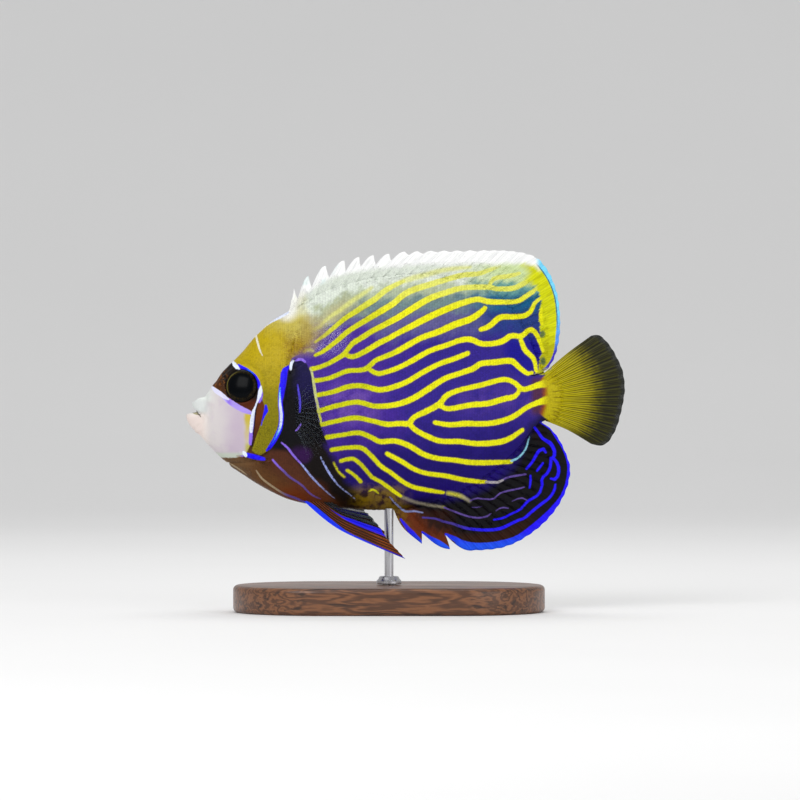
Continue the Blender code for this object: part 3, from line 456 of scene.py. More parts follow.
def blend(values: Array, t: Array) -> Array:
    """The smooth curve through the rows of values.

    Args:
        values: one row for each point of the curve.
        t: shares of the way along, from 0 to 1.

    Returns:
        One row for each share.
    """
    last = len(values) - 1
    place = np.clip(t, 0.0, 1.0) * last
    index = np.minimum(place.astype(int), last - 1)
    rows = (values[np.clip(index + k, 0, last)] for k in (-1, 0, 1, 2))
    return catmull_rom(*rows, (place - index)[:, None])


def lengths(rows: Array) -> Array:
    """How far along its course each row lies."""
    return np.concatenate(([0], np.cumsum(np.linalg.norm(np.diff(rows, axis=0), axis=1))))


def along(points: Sequence[Sequence[float]], count: int) -> Array:
    """Rows spread evenly along a smooth curve.

    Args:
        points: what the curve runs through.
        count: how many rows there are.

    Returns:
        The rows.
    """
    fine = blend(np.array(points, float), np.linspace(0, 1, 401))
    reach = lengths(fine[:, :2])
    wanted = np.linspace(0, reach[-1], count)
    return np.stack([np.interp(wanted, reach, column) for column in fine.T], axis=1)


def smooth(values: Array, low: float, high: float) -> Array:
    """0 below low, 1 above high and smooth between; the other way round if low is the larger."""
    share = np.clip((values - low) / (high - low), 0, 1)
    return share * share * (3 - 2 * share)


def bell(values: Array, width: Number) -> Array:
    """1 where values are 0, falling smoothly to both sides."""
    return np.exp(-((values / width) ** 2))


def from_spot(seen: Array, spot: Point) -> Array:
    """The distance of each side-view point from a spot."""
    return np.hypot(seen[:, 0] - spot[0], seen[:, 1] - spot[1])


def nearest(points: Array, course: Array, reach: float) -> tuple[Array, Array]:
    """The distance of each point to a course, less the course's half width, and the side it lies on.

    Args:
        points: side-view pixels, one row each.
        course: points of the course with a half width as third number.
        reach: the largest distance that is told; a whole number has the rest told in whole pixels too.

    Returns:
        The distances, and the signed distances to the nearest leg's line.
    """
    found = np.full(len(points), reach)
    sides = np.zeros(len(points))
    for (ax, ay, wa), (bx, by, wb) in zip(course, course[1:]):
        near = np.flatnonzero(
            (points[:, 0] > min(ax, bx) - reach) & (points[:, 0] < max(ax, bx) + reach)
            & (points[:, 1] > min(ay, by) - reach) & (points[:, 1] < max(ay, by) + reach)
        )
        if not len(near):
            continue
        dx, dy = bx - ax, by - ay
        span = max(dx * dx + dy * dy, 1e-9)
        x, y = points[near, 0] - ax, points[near, 1] - ay
        share = np.clip((x * dx + y * dy) / span, 0, 1)
        gap = np.hypot(x - share * dx, y - share * dy) - (wa + (wb - wa) * share)
        closer = gap < found[near]
        found[near[closer]] = gap[closer]
        sides[near[closer]] = ((x * dy - y * dx) / math.sqrt(span))[closer]
    return found, sides


def within(points: Array, outline: Sequence[Point]) -> Array:
    """Which points lie inside a closed outline.

    Args:
        points: side-view points, one row each.
        outline: its corners.

    Returns:
        True or False for each.
    """
    inside = np.zeros(len(points), bool)
    for (ax, ay), (bx, by) in zip(outline, [*outline[1:], outline[0]]):
        crosses = (ay > points[:, 1]) != (by > points[:, 1])
        if ay != by:
            inside ^= crosses & (points[:, 0] < (bx - ax) * (points[:, 1] - ay) / (by - ay) + ax)
    return inside


class Markings:
    """The painted lines and areas, as distances that any surface can carry."""

    def __init__(self) -> None:
        """Smooths every line once."""
        self.lines = {layer: [self.smoothed(line) for line in lines] for layer, lines in LINES.items()}

    def smoothed(self, line: Sequence[Mark]) -> Array:
        """A line with its points close together."""
        length = sum(math.dist(a[:2], b[:2]) for a, b in zip(line, line[1:]))
        return along(line, max(4, round(length / LINE_STEP)))

    def fields(self, points: Array) -> dict[Layer, Array]:
        """Every layer's signed distances.

        Args:
            points: side-view points, one row each.

        Returns:
            Pixels for each point, below 0 inside.
        """
        made: dict[Layer, Array] = {}
        for layer, lines in self.lines.items():
            made[layer] = np.full(len(points), LINE_REACH)
            for line in lines:
                made[layer] = np.minimum(made[layer], nearest(points, line, LINE_REACH)[0])
        for layer, outline in AREAS.items():
            gap, _ = nearest(points, unmarked((*outline, outline[0])), 2 * LINE_REACH)
            made[layer] = np.where(within(points, outline), -gap, gap)
        for layer, edge in EDGES.items():
            made[layer] = nearest(points, along(unmarked(edge), EDGE_POINTS), EDGE_REACH)[0]
        return made

    def paint(self, mesh: bpy.types.Mesh) -> None:
        """Stores every layer on the mesh's points."""
        for layer, values in self.fields(to_picture(read_points(mesh))).items():
            store(mesh, layer.value, values)


MARKINGS = Markings()


def read_points(mesh: bpy.types.Mesh) -> Array:
    """The mesh's points.

    Args:
        mesh: the mesh.

    Returns:
        One row for each point.
    """
    flat = np.empty(len(mesh.vertices) * 3, np.float32)
    mesh.vertices.foreach_get("co", flat)
    return flat.reshape(-1, 3).astype(float)


def write_points(mesh: bpy.types.Mesh, points: Array) -> None:
    """Moves the mesh's points."""
    mesh.vertices.foreach_set("co", points.astype(np.float32).ravel())
    mesh.update()


def store(mesh: bpy.types.Mesh, name: str, values: Array) -> None:
    """Stores one number for each of the mesh's points."""
    held = mesh.attributes.get(name) or mesh.attributes.new(name, "FLOAT", "POINT")
    held.data.foreach_set("value", values.astype(np.float32))


def face_out(bm: bmesh.types.BMesh) -> None:
    """Turns every face outwards.

    Args:
        bm: a closed shape.
    """
    bmesh.ops.recalc_face_normals(bm, faces=bm.faces)
    if bm.calc_volume(signed=True) < 0:
        bmesh.ops.reverse_faces(bm, faces=bm.faces)
    bm.normal_update()


def face_mesh_out(mesh: bpy.types.Mesh) -> None:
    """Turns every face outwards and shades it smoothly.

    Args:
        mesh: a closed mesh.
    """
    bm = bmesh.new()
    bm.from_mesh(mesh)
    face_out(bm)
    bm.to_mesh(mesh)
    bm.free()
    mesh.shade_smooth()


def to_mesh(name: str, bm: bmesh.types.BMesh, crease: float | None = None) -> bpy.types.Mesh:
    """A smooth-shaded mesh from a bmesh, which is freed.

    Args:
        name: the mesh's name.
        bm: the shape.
        crease: the angle in degrees past which an edge stays sharp, or None for none.

    Returns:
        The mesh.
    """
    mesh = bpy.data.meshes.new(name)
    bm.to_mesh(mesh)
    bm.free()
    mesh.shade_smooth()
    if crease is not None:
        mesh.set_sharp_from_angle(angle=math.radians(crease))
    return mesh


def ball_mesh(name: str, around: int, lengthwise: int, shape: Shape) -> tuple[bpy.types.Mesh, Array]:
    """A closed mesh of a shape that runs from one pole to the other.

    Args:
        name: the mesh's name.
        around: points on each ring.
        lengthwise: rings from end to end.
        shape: gives the points at shares of the way along and angles about the axis.

    Returns:
        The mesh, and each point's share of the way along.
    """
    bm = bmesh.new()
    bmesh.ops.create_uvsphere(bm, u_segments=around, v_segments=lengthwise, radius=1)
    mesh = to_mesh(name, bm)
    ball = read_points(mesh)
    t = np.arccos(np.clip(ball[:, 2], -1, 1)) / math.pi
    write_points(mesh, shape(t, np.arctan2(ball[:, 1], ball[:, 0])))
    return mesh, t


def search_tree(mesh: bpy.types.Mesh) -> BVHTree:
    """A tree that rays can be cast at."""
    return BVHTree.FromPolygons([v.co for v in mesh.vertices], [tuple(p.vertices) for p in mesh.polygons])


def touch(tree: BVHTree, seen: Point, side: int, start: float = 0.06) -> tuple[Vector | None, Vector | None]:
    """Where a side-view point falls on a surface, seen from one side of the fish.

    Args:
        tree: the surface.
        seen: the side-view point.
        side: -1 for the left side and 1 for the right.
        start: how far beside the middle plane the ray begins, in metres.

    Returns:
        The place and the normal there, both None if the ray misses.
    """
    x, z = on_side(*seen)
    return tree.ray_cast(Vector((x, side * start, z)), Vector((0, -side, 0)))[:2]


def new_object(name: str, data: bpy.types.ID) -> bpy.types.Object:
    """An object in the scene.

    Args:
        name: its name.
        data: its mesh, light or camera.

    Returns:
        The object.
    """
    made = bpy.data.objects.new(name, data)
    bpy.context.scene.collection.objects.link(made)
    return made


def add_piece(
    name: str, mesh: bpy.types.Mesh, material: bpy.types.Material, replaces: Sequence[str] = ()
) -> None:
    """Puts a finished piece into the scene, riding on the root.

    Args:
        name: the piece's name.
        mesh: its mesh, with its place in it.
        material: its finish.
        replaces: the nodes it stands for.
    """
    piece = new_object(name, mesh)
    mesh.materials.clear()
    mesh.materials.append(material)
    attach(piece, "root")
    if replaces:
        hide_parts(*replaces)
    LOG.info("%s: %d points, %d faces", name, len(mesh.vertices), len(mesh.polygons))


def srgb(red: float, green: float, blue: float) -> Colour:
    """A colour given in 0 to 255 as the picture has it, in linear light."""
    shares = (c / 255 for c in (red, green, blue))
    return tuple(c / 12.92 if c <= 0.04045 else ((c + 0.055) / 1.055) ** 2.4 for c in shares)


class Value:
    """A node's output that can be reckoned with."""

    def __init__(self, shade: "Shade", socket: bpy.types.NodeSocket) -> None:
        """Wraps the socket of one material."""
        self.shade = shade
        self.socket = socket

    def join(self, operation: str, other: "Value | float") -> "Value":
        """This output and another one, or a number, put through a Math node."""
        return self.shade.math(operation, self, other)

    def __rsub__(self, other: float) -> "Value":
        """The difference from a number."""
        return self.shade.math("SUBTRACT", other, self)

    __add__ = __radd__ = partialmethod(join, "ADD")
    __mul__ = __rmul__ = partialmethod(join, "MULTIPLY")
    __sub__ = partialmethod(join, "SUBTRACT")
    __truediv__ = partialmethod(join, "DIVIDE")
    least = partialmethod(join, "MINIMUM")
    most = partialmethod(join, "MAXIMUM")


class Shade:
    """One material, put together from expressions."""

    def __init__(self, name: str, **constants: float) -> None:
        """Makes the material.

        Args:
            name: its name.
            constants: what the shader's own sockets are set to, the same all over.
        """
        self.material = bpy.data.materials.new(name)
        self.material.use_nodes = True
        self.tree = self.material.node_tree
        self.shader = self.tree.nodes["Principled BSDF"]
        self.feed_shader(constants)
        self.place = self.node("TexCoord", {}, "Object")

    def node(self, kind: str, sockets: dict, out: str | int = 0, **settings: object) -> Value:
        """Adds a node.

        Args:
            kind: the node's type, without its first word.
            sockets: values or links of its sockets, by name or number.
            out: the output that is wanted.
            settings: its own settings, which are made first.

        Returns:
            That output.
        """
        made = self.tree.nodes.new("ShaderNode" + kind)
        for key, value in settings.items():
            setattr(made, key, value)
        for key, value in sockets.items():
            self.feed(made.inputs[key], value)
        return Value(self, made.outputs[out])

    def feed(self, socket: bpy.types.NodeSocket, value: object) -> None:
        """Links or sets a socket.

        Args:
            socket: the socket.
            value: a wrapped output to link, or a number, colour or vector.
        """
        if isinstance(value, Value):
            self.tree.links.new(value.socket, socket)
        elif isinstance(value, tuple) and len(value) == 3 and socket.type == "RGBA":
            socket.default_value = (*value, 1)
        else:
            socket.default_value = value

    def feed_shader(self, values: dict[str, Value | float]) -> None:
        """Feeds the shader's sockets, which are named in small letters."""
        for socket, value in values.items():
            self.feed(self.shader.inputs[socket.replace("_", " ").title().replace("Ior", "IOR")], value)

    def math(self, operation: str, a: Value | float, b: Value | float = 0.0) -> Value:
        """A Math node."""
        return self.node("Math", {0: a, 1: b}, operation=operation)

    def mix(self, a: Value | Colour, b: Value | Colour, share: Value | float) -> Value:
        """Colour a, going over to b by the share."""
        return self.node("Mix", {0: share, 6: a, 7: b}, 2, data_type="RGBA")

    def over(self, colour: Value | Colour, *coats: tuple[Value | Colour, Value]) -> Value:
        """A colour with coats over it.

        Args:
            colour: the lowest colour.
            coats: colours, each with its share, in the order they are laid.

        Returns:
            The colour on top.
        """
        for coat, share in coats:
            colour = self.mix(colour, coat, share)
        return colour

    def tint(self, a: Value | Colour, b: Value | Colour, share: Value | float) -> Value:
        """Colour a, multiplied with b by the share."""
        return self.node("Mix", {0: share, 6: a, 7: b}, 2, data_type="RGBA", blend_type="MULTIPLY")

    def ramp(self, value: Value, low: float, high: float, low_to: float = 0, high_to: float = 1) -> Value:
        """low_to below low, high_to above high, smooth between."""
        sockets = {"Value": value, "From Min": low, "From Max": high, "To Min": low_to, "To Max": high_to}
        return self.node("MapRange", sockets, interpolation_type="SMOOTHSTEP")

    def near(self, value: Value, middle: float, low: float, high: float) -> Value:
        """A ramp over how far the value is from the middle."""
        return self.ramp(self.math("ABSOLUTE", value - middle), low, high)

    def attribute(self, name: str) -> Value:
        """A number stored on the surface."""
        return self.node("Attribute", {}, "Fac", attribute_name=name)

    def noise(self, scale: float, detail: float = 2, stretch: tuple | None = None, turn: float = 0) -> Value:
        """Noise from 0 to 1.

        Args:
            scale: waves a metre.
            detail: how many finer layers it has.
            stretch: the scale's share along each axis, after the turn.
            turn: how far the axes turn about Y, in radians.

        Returns:
            The noise.
        """
        place = self.place
        if turn:
            place = self.node("Mapping", {"Vector": place, "Rotation": (0, turn, 0)})
        if stretch:
            place = self.node("Mapping", {"Vector": place, "Scale": stretch})
        return self.node("TexNoise", {"Vector": place, "Scale": scale, "Detail": detail})

    def noise_at(self, x: Value, y: Value) -> Value:
        """Noise from 0 to 1 over two numbers that the surface carries."""
        place = self.node("CombineXYZ", {"X": x, "Y": y})
        return self.node("TexNoise", {"Vector": place, "Scale": 1.0, "Detail": 2.0})

    def bump(self, height: Value, strength: float, distance: float) -> None:
        """Roughens the surface's normal."""
        sockets = {"Height": height, "Strength": strength, "Distance": distance}
        self.feed_shader({"normal": self.node("Bump", sockets)})

    def dress(self, **values: Value) -> bpy.types.Material:
        """Feeds the shader what changes over the surface, and returns the material."""
        self.feed_shader(values)
        return self.material


class Canvas(Shade):
    """A material over the side view: it knows its place in pixels and strays with a slow noise."""

    def __init__(self, name: str, **constants: float) -> None:
        """Adds the place, the slow cloud, its stray to both sides and a fine raggedness in pixels.

        Args:
            name: the material's name.
            constants: what the shader's own sockets are set to.
        """
        super().__init__(name, **constants)
        split = self.node("SeparateXYZ", {0: self.place})
        self.px = split / PIXEL + MIDDLE_PX
        self.py = FLOOR_PX - Value(self, split.socket.node.outputs[2]) / PIXEL
        self.cloud = self.noise(190, 3)
        self.stray = self.cloud - 0.5
        self.ragged = (self.noise(1500, 2) - 0.5) * 1.1
        self.fields = {layer: self.attribute(layer.value) for layer in Layer}

    def x(self, low: float, high: float, stray: float = 0.0) -> Value:
        """A ramp along the fish, which strays by so many pixels."""
        return self.ramp(self.px + self.stray * stray if stray else self.px, low, high)

    def y(self, low: float, high: float, stray: float = 0.0) -> Value:
        """A ramp down the picture, which strays by so many pixels."""
        return self.ramp(self.py + self.stray * stray if stray else self.py, low, high)

    def line(self, layer: Layer) -> Value:
        """A layer's distance with a ragged edge."""
        return self.fields[layer] + self.ragged

    def area(self, layer: Layer, soft: float = 0.6) -> Value:
        """The share of a layer's area, with a ragged edge."""
        return self.ramp(self.line(layer), soft, -soft)

    def oval(
        self, x: float, y: float, wide: float, high: float, low: float, full: float, tilt: float = 0.0,
        stray: float = 0.0,
    ) -> Value:
        """A soft oval.

        Args:
            x: its middle's column.
            y: its middle's row, or the row where its tilted axis starts.
            wide: its half width.
            high: its half height.
            low: the squared distance where it ends.
            full: the squared distance where it is full.
            tilt: how far its axis falls with each column.
            stray: how far the squared distance strays.

        Returns:
            Its share.
        """
        across = (self.px - x) / wide
        down = (self.py - self.px * tilt - y) / high if tilt else (self.py - y) / high
        far = across * across + down * down
        return self.ramp(far + self.stray * stray if stray else far, low, full)


class Surface(Enum):
    """What a painted surface is made of."""

    SKIN = "skin"
    SCALES = "scales"
    FIN = "fin"


@dataclass(frozen=True)
class CoatPaint:
    """The fish's own colours, the same on skin, scales and the middle fins.

    A pair of colours is for the front and for the rear of the back.
    """

    violet: Colour = srgb(70, 38, 150)
    indigo: Colour = srgb(25, 5, 108)
    lilac: Colour = srgb(112, 78, 172)
    blue_violet: Colour = srgb(50, 34, 138)
    deep_blue: Colour = srgb(10, 3, 142)
    plum: Colour = srgb(52, 8, 78)
    dusk: tuple[Colour, Colour] = (srgb(96, 92, 146), srgb(34, 60, 130))
    slate: tuple[Colour, Colour] = (srgb(112, 136, 136), srgb(14, 94, 136))
    moss: tuple[Colour, Colour] = (srgb(176, 188, 158), srgb(104, 160, 156))
    sage: tuple[Colour, Colour] = (srgb(222, 230, 217), srgb(206, 224, 166))
    straw: Colour = srgb(186, 178, 128)
    white: Colour = srgb(248, 249, 247)
    ice: Colour = srgb(120, 214, 250)
    yellow: Colour = srgb(238, 236, 12)
    deep_yellow: Colour = srgb(208, 210, 6)
    pale_yellow: Colour = srgb(226, 228, 120)
    rear_yellow: Colour = srgb(212, 216, 2)
    gold: Colour = srgb(190, 166, 10)
    old_gold: Colour = srgb(138, 128, 6)
    ochre: Colour = srgb(160, 132, 16)
    nape: Colour = srgb(196, 182, 84)
    cream: Colour = srgb(212, 210, 160)
    muzzle: Colour = srgb(209, 203, 203)
    muzzle_violet: Colour = srgb(190, 174, 192)
    lips: Colour = srgb(228, 218, 212)
    mask: Colour = srgb(18, 8, 2)
    rust: Colour = srgb(112, 46, 8)
    dark_rust: Colour = srgb(44, 15, 2)
    amber: Colour = srgb(176, 104, 20)
    brown: Colour = srgb(100, 62, 26)
    umber: Colour = srgb(12, 4, 3)
    olive: Colour = srgb(126, 100, 8)
    black: Colour = srgb(4, 3, 8)
    bar: Colour = srgb(16, 8, 66)
    line_white: Colour = srgb(226, 234, 252)
    line_violet: Colour = srgb(142, 108, 232)
    line_blue: Colour = srgb(34, 14, 250)
    line_azure: Colour = srgb(30, 96, 255)

    def depth(self, s: Canvas) -> Value:
        """How far below the back's margin a point lies, in pixels."""
        level = s.x(402, 424)
        return s.fields[Layer.DORSAL_EDGE] * (1 - level) + (s.py - 251) * level

    def ground(self, s: Canvas) -> Value:
        """The colour between the stripes of the trunk, with a painted lilac sheen and painted glints on it.

        Args:
            s: the canvas.

        Returns:
            The colour.
        """
        streak = s.noise(800, 2, (1, 1, 0.16), -0.45) - 0.5
        # painted sheen: a lilac haze on the middle of the flank, and fainter behind it
        painted_sheen = s.near(s.py, 404, 34, 4) * s.near(s.px, 353, 42, 8)
        painted_sheen = painted_sheen.most(s.near(s.py, 400, 26, 2) * s.x(440, 475) * 0.35)
        made = s.over(
            self.violet,
            (self.blue_violet, s.x(350, 430, 90)),
            (self.indigo, s.ramp(s.py + s.px * 0.12 + s.stray * 40, 455, 520)),
            (self.lilac, painted_sheen * s.ramp(s.cloud, 0.3, 0.62) * 0.85),
            (self.deep_blue, s.oval(526, 350, 24, 26, 1.3, 0.3) * 0.85),
        )
        rear, upper = s.x(452, 504, 40), s.y(392, 372)
        front = s.x(382, 344, 16) * s.ramp(s.py + s.px * 0.2, 384, 408)
        deep = self.depth(s) + s.stray * 20 + streak * 12 + front * 52
        for pair, low, high in (
            (self.dusk, 94, 72), (self.slate, 68, 52), (self.moss, 50, 38), (self.sage, 37, 26),
        ):
            made = s.mix(made, s.mix(*pair, rear), s.ramp(deep, low, high) * upper)
        straw = s.x(372, 334, 30) * s.ramp(deep, 64, 50) * s.ramp(deep, 30, 46)
        # pale dots on the upper front of the trunk: painted glints on the scales
        speck = s.oval(324, 338, 27, 19, 1.3, 0.2) * s.ramp(s.noise(4600, 1), 0.54, 0.64)
        made = s.over(made, (self.straw, straw * 0.8), (srgb(206, 196, 222), speck * 0.85))
        return self.lower_fin(s, made, streak)

    def lower_fin(self, s: Canvas, under: Value, streak: Value) -> Value:
        """The black anal fin with its rusty spines, and the red patch at the stalk.

        Args:
            s: the canvas.
            under: the colour that it is laid over.
            streak: the noise that runs along the scales.

        Returns:
            The new colour.
        """
        inside = s.fields[Layer.ANAL] + s.stray * 8
        margin = s.fields[Layer.ANAL_EDGE]
        bases = s.ramp(inside, 4, -3) * s.ramp(s.px + streak * 10, 462, 440)
        bases = bases * s.ramp(s.py + streak * 6, 506, 514)
        warm = s.mix(self.dark_rust, self.rust, s.ramp(margin + streak * 14, 24, 9))
        return s.over(
            under,
            (self.black, s.ramp(inside, 9, -5)),
            (srgb(46, 17, 2), s.ramp(inside, 0, -4) * s.ramp(margin, 22, 12) * s.x(556, 500)),
            (warm, bases * 0.9),
            (srgb(84, 42, 40), s.near(s.px, 539, 11, 4) * s.near(s.py, 396, 22, 14) * 0.8),
        )

    def belly(self, s: Canvas, under: Value) -> Value:
        """The brown chest and throat and the olive belly.

        Args:
            s: the canvas.
            under: the colour that it is laid over.

        Returns:
            The new colour.
        """
        slope = s.px * 0.75 - s.py
        behind = s.px * 1.05 - s.py  # grows backwards past the pale line on the chest
        warm = s.ramp(behind, -144, -153) * s.x(258, 274) * s.y(446, 453) * s.ramp(slope, -276, -256)
        chest = s.over(
            self.umber,
            (self.brown, s.ramp(slope + s.stray * 24, -236, -284)),
            (self.rust, s.near(s.px, 300, 34, 8) * s.y(474, 494, 24) * 0.9),
            (srgb(92, 48, 28), warm * 0.75),
            (self.plum, s.oval(301, 454, 13, 11, 1.2, 0.2) * s.ramp(behind, -146, -142) * 0.8),
        )
        olive = s.mix(srgb(50, 30, 6), self.olive, s.ramp(s.noise(420, 2), 0.34, 0.56))
        return s.over(
            under,
            (self.indigo, s.y(462, 486, 24) * s.x(395, 350) * 0.7),
            (chest, s.ramp(s.fields[Layer.CHEST] + s.stray * 9.6, 4, -6)),
            (olive, s.y(478, 494) * s.near(s.px, 380, 36, 12) * 0.9),
            (srgb(104, 78, 50), s.y(454, 459) * s.x(266, 236) * 0.8),
        )

    def stripes(self, s: Canvas, under: Value) -> Value:
        """The yellow stripes, washed out towards the back.

        Args:
            s: the canvas.
            under: the colour that it is laid over.

        Returns:
            The new colour.
        """
        deep, line = self.depth(s), s.line(Layer.YELLOW)
        faded = s.over(
            self.pale_yellow,
            (srgb(164, 156, 132), s.y(470, 496)),
            (srgb(216, 210, 60), s.x(440, 446) * s.x(468, 456) * s.y(480, 488)),
        )
        strong = s.over(
            self.yellow,
            (self.deep_yellow, s.x(400, 360, 60)),
            (self.pale_yellow, s.ramp(deep + s.stray * 12, 60, 26) * 0.85),
        )
        return s.over(
            under,
            (srgb(112, 84, 40), s.ramp(line, 1.5, 0.2) * s.ramp(deep, 40, 60) * 0.5),
            (faded, s.ramp(s.line(Layer.FAINT), 1.8, -1.6) * s.ramp(s.py, 480, 490, 0.7, 0.9)),
            (strong, s.ramp(line, 0.6, -0.6) * s.ramp(deep, 9, 22)),
        )

    def back(self, s: Canvas, under: Value) -> Value:
        """The white margin of the dorsal fin and its yellow rear with an icy rim.

        Args:
            s: the canvas.
            under: the colour that it is laid over.

        Returns:
            The new colour.
        """
        edge, upper, soft = s.line(Layer.DORSAL_EDGE), s.y(392, 376), s.y(294, 280)
        streak = s.noise(1500, 2, (1, 1, 0.12), -1.0) - 0.5
        area = s.line(Layer.REAR) + streak * 7
        spots = []
        for x, y, flat in ((542.5, 334, 0.6), (543, 361, 0.4)):
            across, down = s.px - x, s.py - y
            spots.append(s.math("SQRT", across * across + down * down * flat))
        gold = s.over(
            self.rear_yellow,
            (srgb(172, 170, 4), s.ramp(streak, -0.05, 0.15) * 0.5),
            (srgb(180, 176, 2), s.ramp(s.py + streak * 30, 326, 354) * 0.8),
            (self.yellow, s.area(Layer.YELLOW, 0.8) * s.y(292, 300) * 0.8),
            (srgb(30, 84, 70), s.ramp(spots[0].least(spots[1]) + s.stray * 3, 3.6, 1.4) * 0.8),
        )
        deep = s.ramp(s.px, 500, 545, 12.5, 6) + s.stray * 5 + streak * 5
        white = s.mix(self.white, srgb(192, 222, 220), s.ramp(s.cloud, 0.44, 0.64) * s.x(350, 320) * 0.7)
        past = edge - (s.ramp(s.py, 262, 300, 5.9, 3.9) - s.ramp(s.py, 334, 356, 0, 1.2) + s.ragged * 0.3)
        rim = s.over(
            self.ice,
            (srgb(88, 150, 240), s.y(306, 342)),
            (srgb(64, 48, 190), s.y(340, 354)),
            (srgb(20, 84, 112), s.ramp(past, -1.5, -0.7) * s.y(334, 318) * 0.9),
        )
        return s.over(
            under,
            (gold, s.ramp(area, 1.2, -1.2) * (1 - soft) + s.ramp(area, 9, -4) * soft),
            (white, s.ramp(edge - deep, 4.5, -2) * upper * s.ramp(s.px + s.py * 0.6, 706, 698)),
            (rim, s.ramp(past, 0.5, -0.5) * s.x(534, 541) * s.y(372, 366) * upper),
        )

    def stalk(self, s: Canvas, under: Value) -> Value:
        """The yellow root of the tail fin, orange between the stripes' ends.

        Args:
            s: the canvas.
            under: the colour that it is laid over.

        Returns:
            The new colour.
        """
        place = s.px + s.ragged * 2 + s.near(s.py, 396, 6, 22) * 4
        spoke = s.noise_at((s.py - 396) / (s.px - 500) * 34, s.px * 0.03)
        between = s.ramp(s.line(Layer.YELLOW), -0.6, 1.6)
        yellow = s.over(
            srgb(212, 200, 10), (srgb(150, 70, 10), between), (srgb(190, 176, 8), s.ramp(place, 543.5, 550))
        )
        yellow = s.tint(yellow, srgb(150, 140, 90), s.ramp(spoke, 0.46, 0.64) * s.x(548, 556) * 0.7)
        fan = s.ramp(s.math("ABSOLUTE", s.py - 396.5) - (s.px - 548) * 0.8, 25, 22.5)
        return s.mix(under, yellow, s.ramp(place, 540, 546) * fan)

    def forehead(self, s: Canvas, under: Value) -> Value:
        """The gold of the forehead and the cheek, soft towards the nape, and a painted white rim highlight
        at the top of the nape.

        Args:
            s: the canvas.
            under: the colour that it is laid over.

        Returns:
            The new colour.
        """
        grain, slant = s.noise(3400, 2), s.px - s.py * 0.2
        lighter = s.px * 0.35 - s.py + s.stray * 30
        stipple = s.ramp(s.noise(2300, 1), 0.5, 0.62) * s.x(274, 296) * s.y(318, 342)
        gold = s.over(
            self.gold,
            (self.old_gold, s.y(352, 408, 50)),
            (self.ochre, s.ramp(slant + s.stray * 30, 208, 226) * s.y(318, 350)),
            (self.nape, s.ramp(lighter, -244, -218)),
            (self.cream, s.ramp(lighter, -222, -202)),
            (srgb(92, 82, 4), s.ramp(grain, 0.56, 0.72) * s.y(330, 380) * 0.5),
            (srgb(70, 74, 4), s.ramp(grain, 0.48, 0.62) * s.y(404, 430) * 0.45),
            (srgb(112, 62, 14), stipple * 0.5),
        )
        soft = s.ramp(slant, 214, 234)
        reach = s.line(Layer.GOLD) + s.stray * soft * 22
        # painted rim highlight: white along the outline near the start of the dorsal fin
        painted_rim_light = s.ramp(s.fields[Layer.DORSAL_EDGE] + s.stray * 8, 20, 8) * s.x(272, 286) * s.x(308, 292)
        return s.over(
            under,
            (gold, s.ramp(reach, 0.6, -0.6) * (1 - soft) + s.ramp(reach, 9, -9) * soft),
            (srgb(152, 128, 66), s.oval(313, 330, 15, 17, 1.3, 0.2, stray=1.5) * 0.5),
            (self.white, painted_rim_light * 0.9),
        )

    def face(self, s: Canvas, under: Value) -> Value:
        """The dark bar, the mask round the eye and the wedge behind it.

        Args:
            s: the canvas.
            under: the colour that it is laid over.

        Returns:
            The new colour.
        """
        fall = s.px - s.py * 0.35
        shine = s.ramp(s.px + s.stray * 10 + (400 - s.py) * 0.1, 292, 305) * s.y(412, 384)
        speck = s.ramp(s.noise(950, 2) + s.stray * 0.3, 0.5, 0.66)
        mask = s.over(
            self.mask,
            (srgb(78, 42, 12), s.ramp(fall + s.stray * 8, 94, 84) * 0.8),
            (self.amber, speck * s.ramp(fall, 100, 88) * 0.6),
            (srgb(82, 30, 3), s.y(396, 403) * s.x(234, 244) * 0.9),
        )
        wedge = s.mix(srgb(98, 44, 8), self.mask, s.y(412, 444) * 0.7)
        return s.over(
            under,
            (s.mix(self.black, self.bar, shine), s.area(Layer.BAR, 0.8) * s.y(452, 438, 16)),
            (mask, s.area(Layer.MASK)),
            (wedge, s.ramp(s.line(Layer.WEDGE), 0.6, -0.4)),
        )

    def snout(self, s: Canvas, under: Value) -> Value:
        """The muzzle and the lips, with painted shade at the mouth's corner.

        Args:
            s: the canvas.
            under: the colour that it is laid over.

        Returns:
            The new colour.
        """
        lips = s.mix(srgb(206, 210, 208), self.lips, s.y(410, 416))
        side = s.x(243.5, 247.5, 5) * s.y(411, 415) * s.ramp(s.py, 446, 416, 0.3, 0.95)
        pink = s.over(
            self.muzzle,
            (self.muzzle_violet, s.x(214, 238, 16) * s.x(252, 242) * 0.85),
            (self.muzzle_violet, s.ramp(s.cloud, 0.5, 0.72) * 0.5),
            (lips, s.x(212, 203)),
            (srgb(226, 208, 202), s.x(206, 198, 10) * s.y(412, 420) * 0.6),
            (srgb(196, 176, 40), side),
            (srgb(176, 170, 40), s.x(244, 248) * s.y(440, 446) * 0.8),
            (srgb(190, 202, 184), s.ramp(s.py + s.px * 0.02, 455, 459) * 0.8),
            (srgb(222, 228, 222), s.ramp(s.py - s.px * 0.2, 362, 356) * s.x(218, 206) * 0.8),
            # olive-brown oval on the lower lip's top edge at the mouth's corner: painted shade
            (srgb(146, 138, 80), s.oval(195.4, 342.6, 4.2, 1.5, 1.2, 0.3, tilt=0.36) * 0.75),
        )
        chin = s.y(452, 457)
        return s.mix(under, pink, s.ramp(s.fields[Layer.MUZZLE] + s.ragged * (1 + chin), 0.7, -0.7))

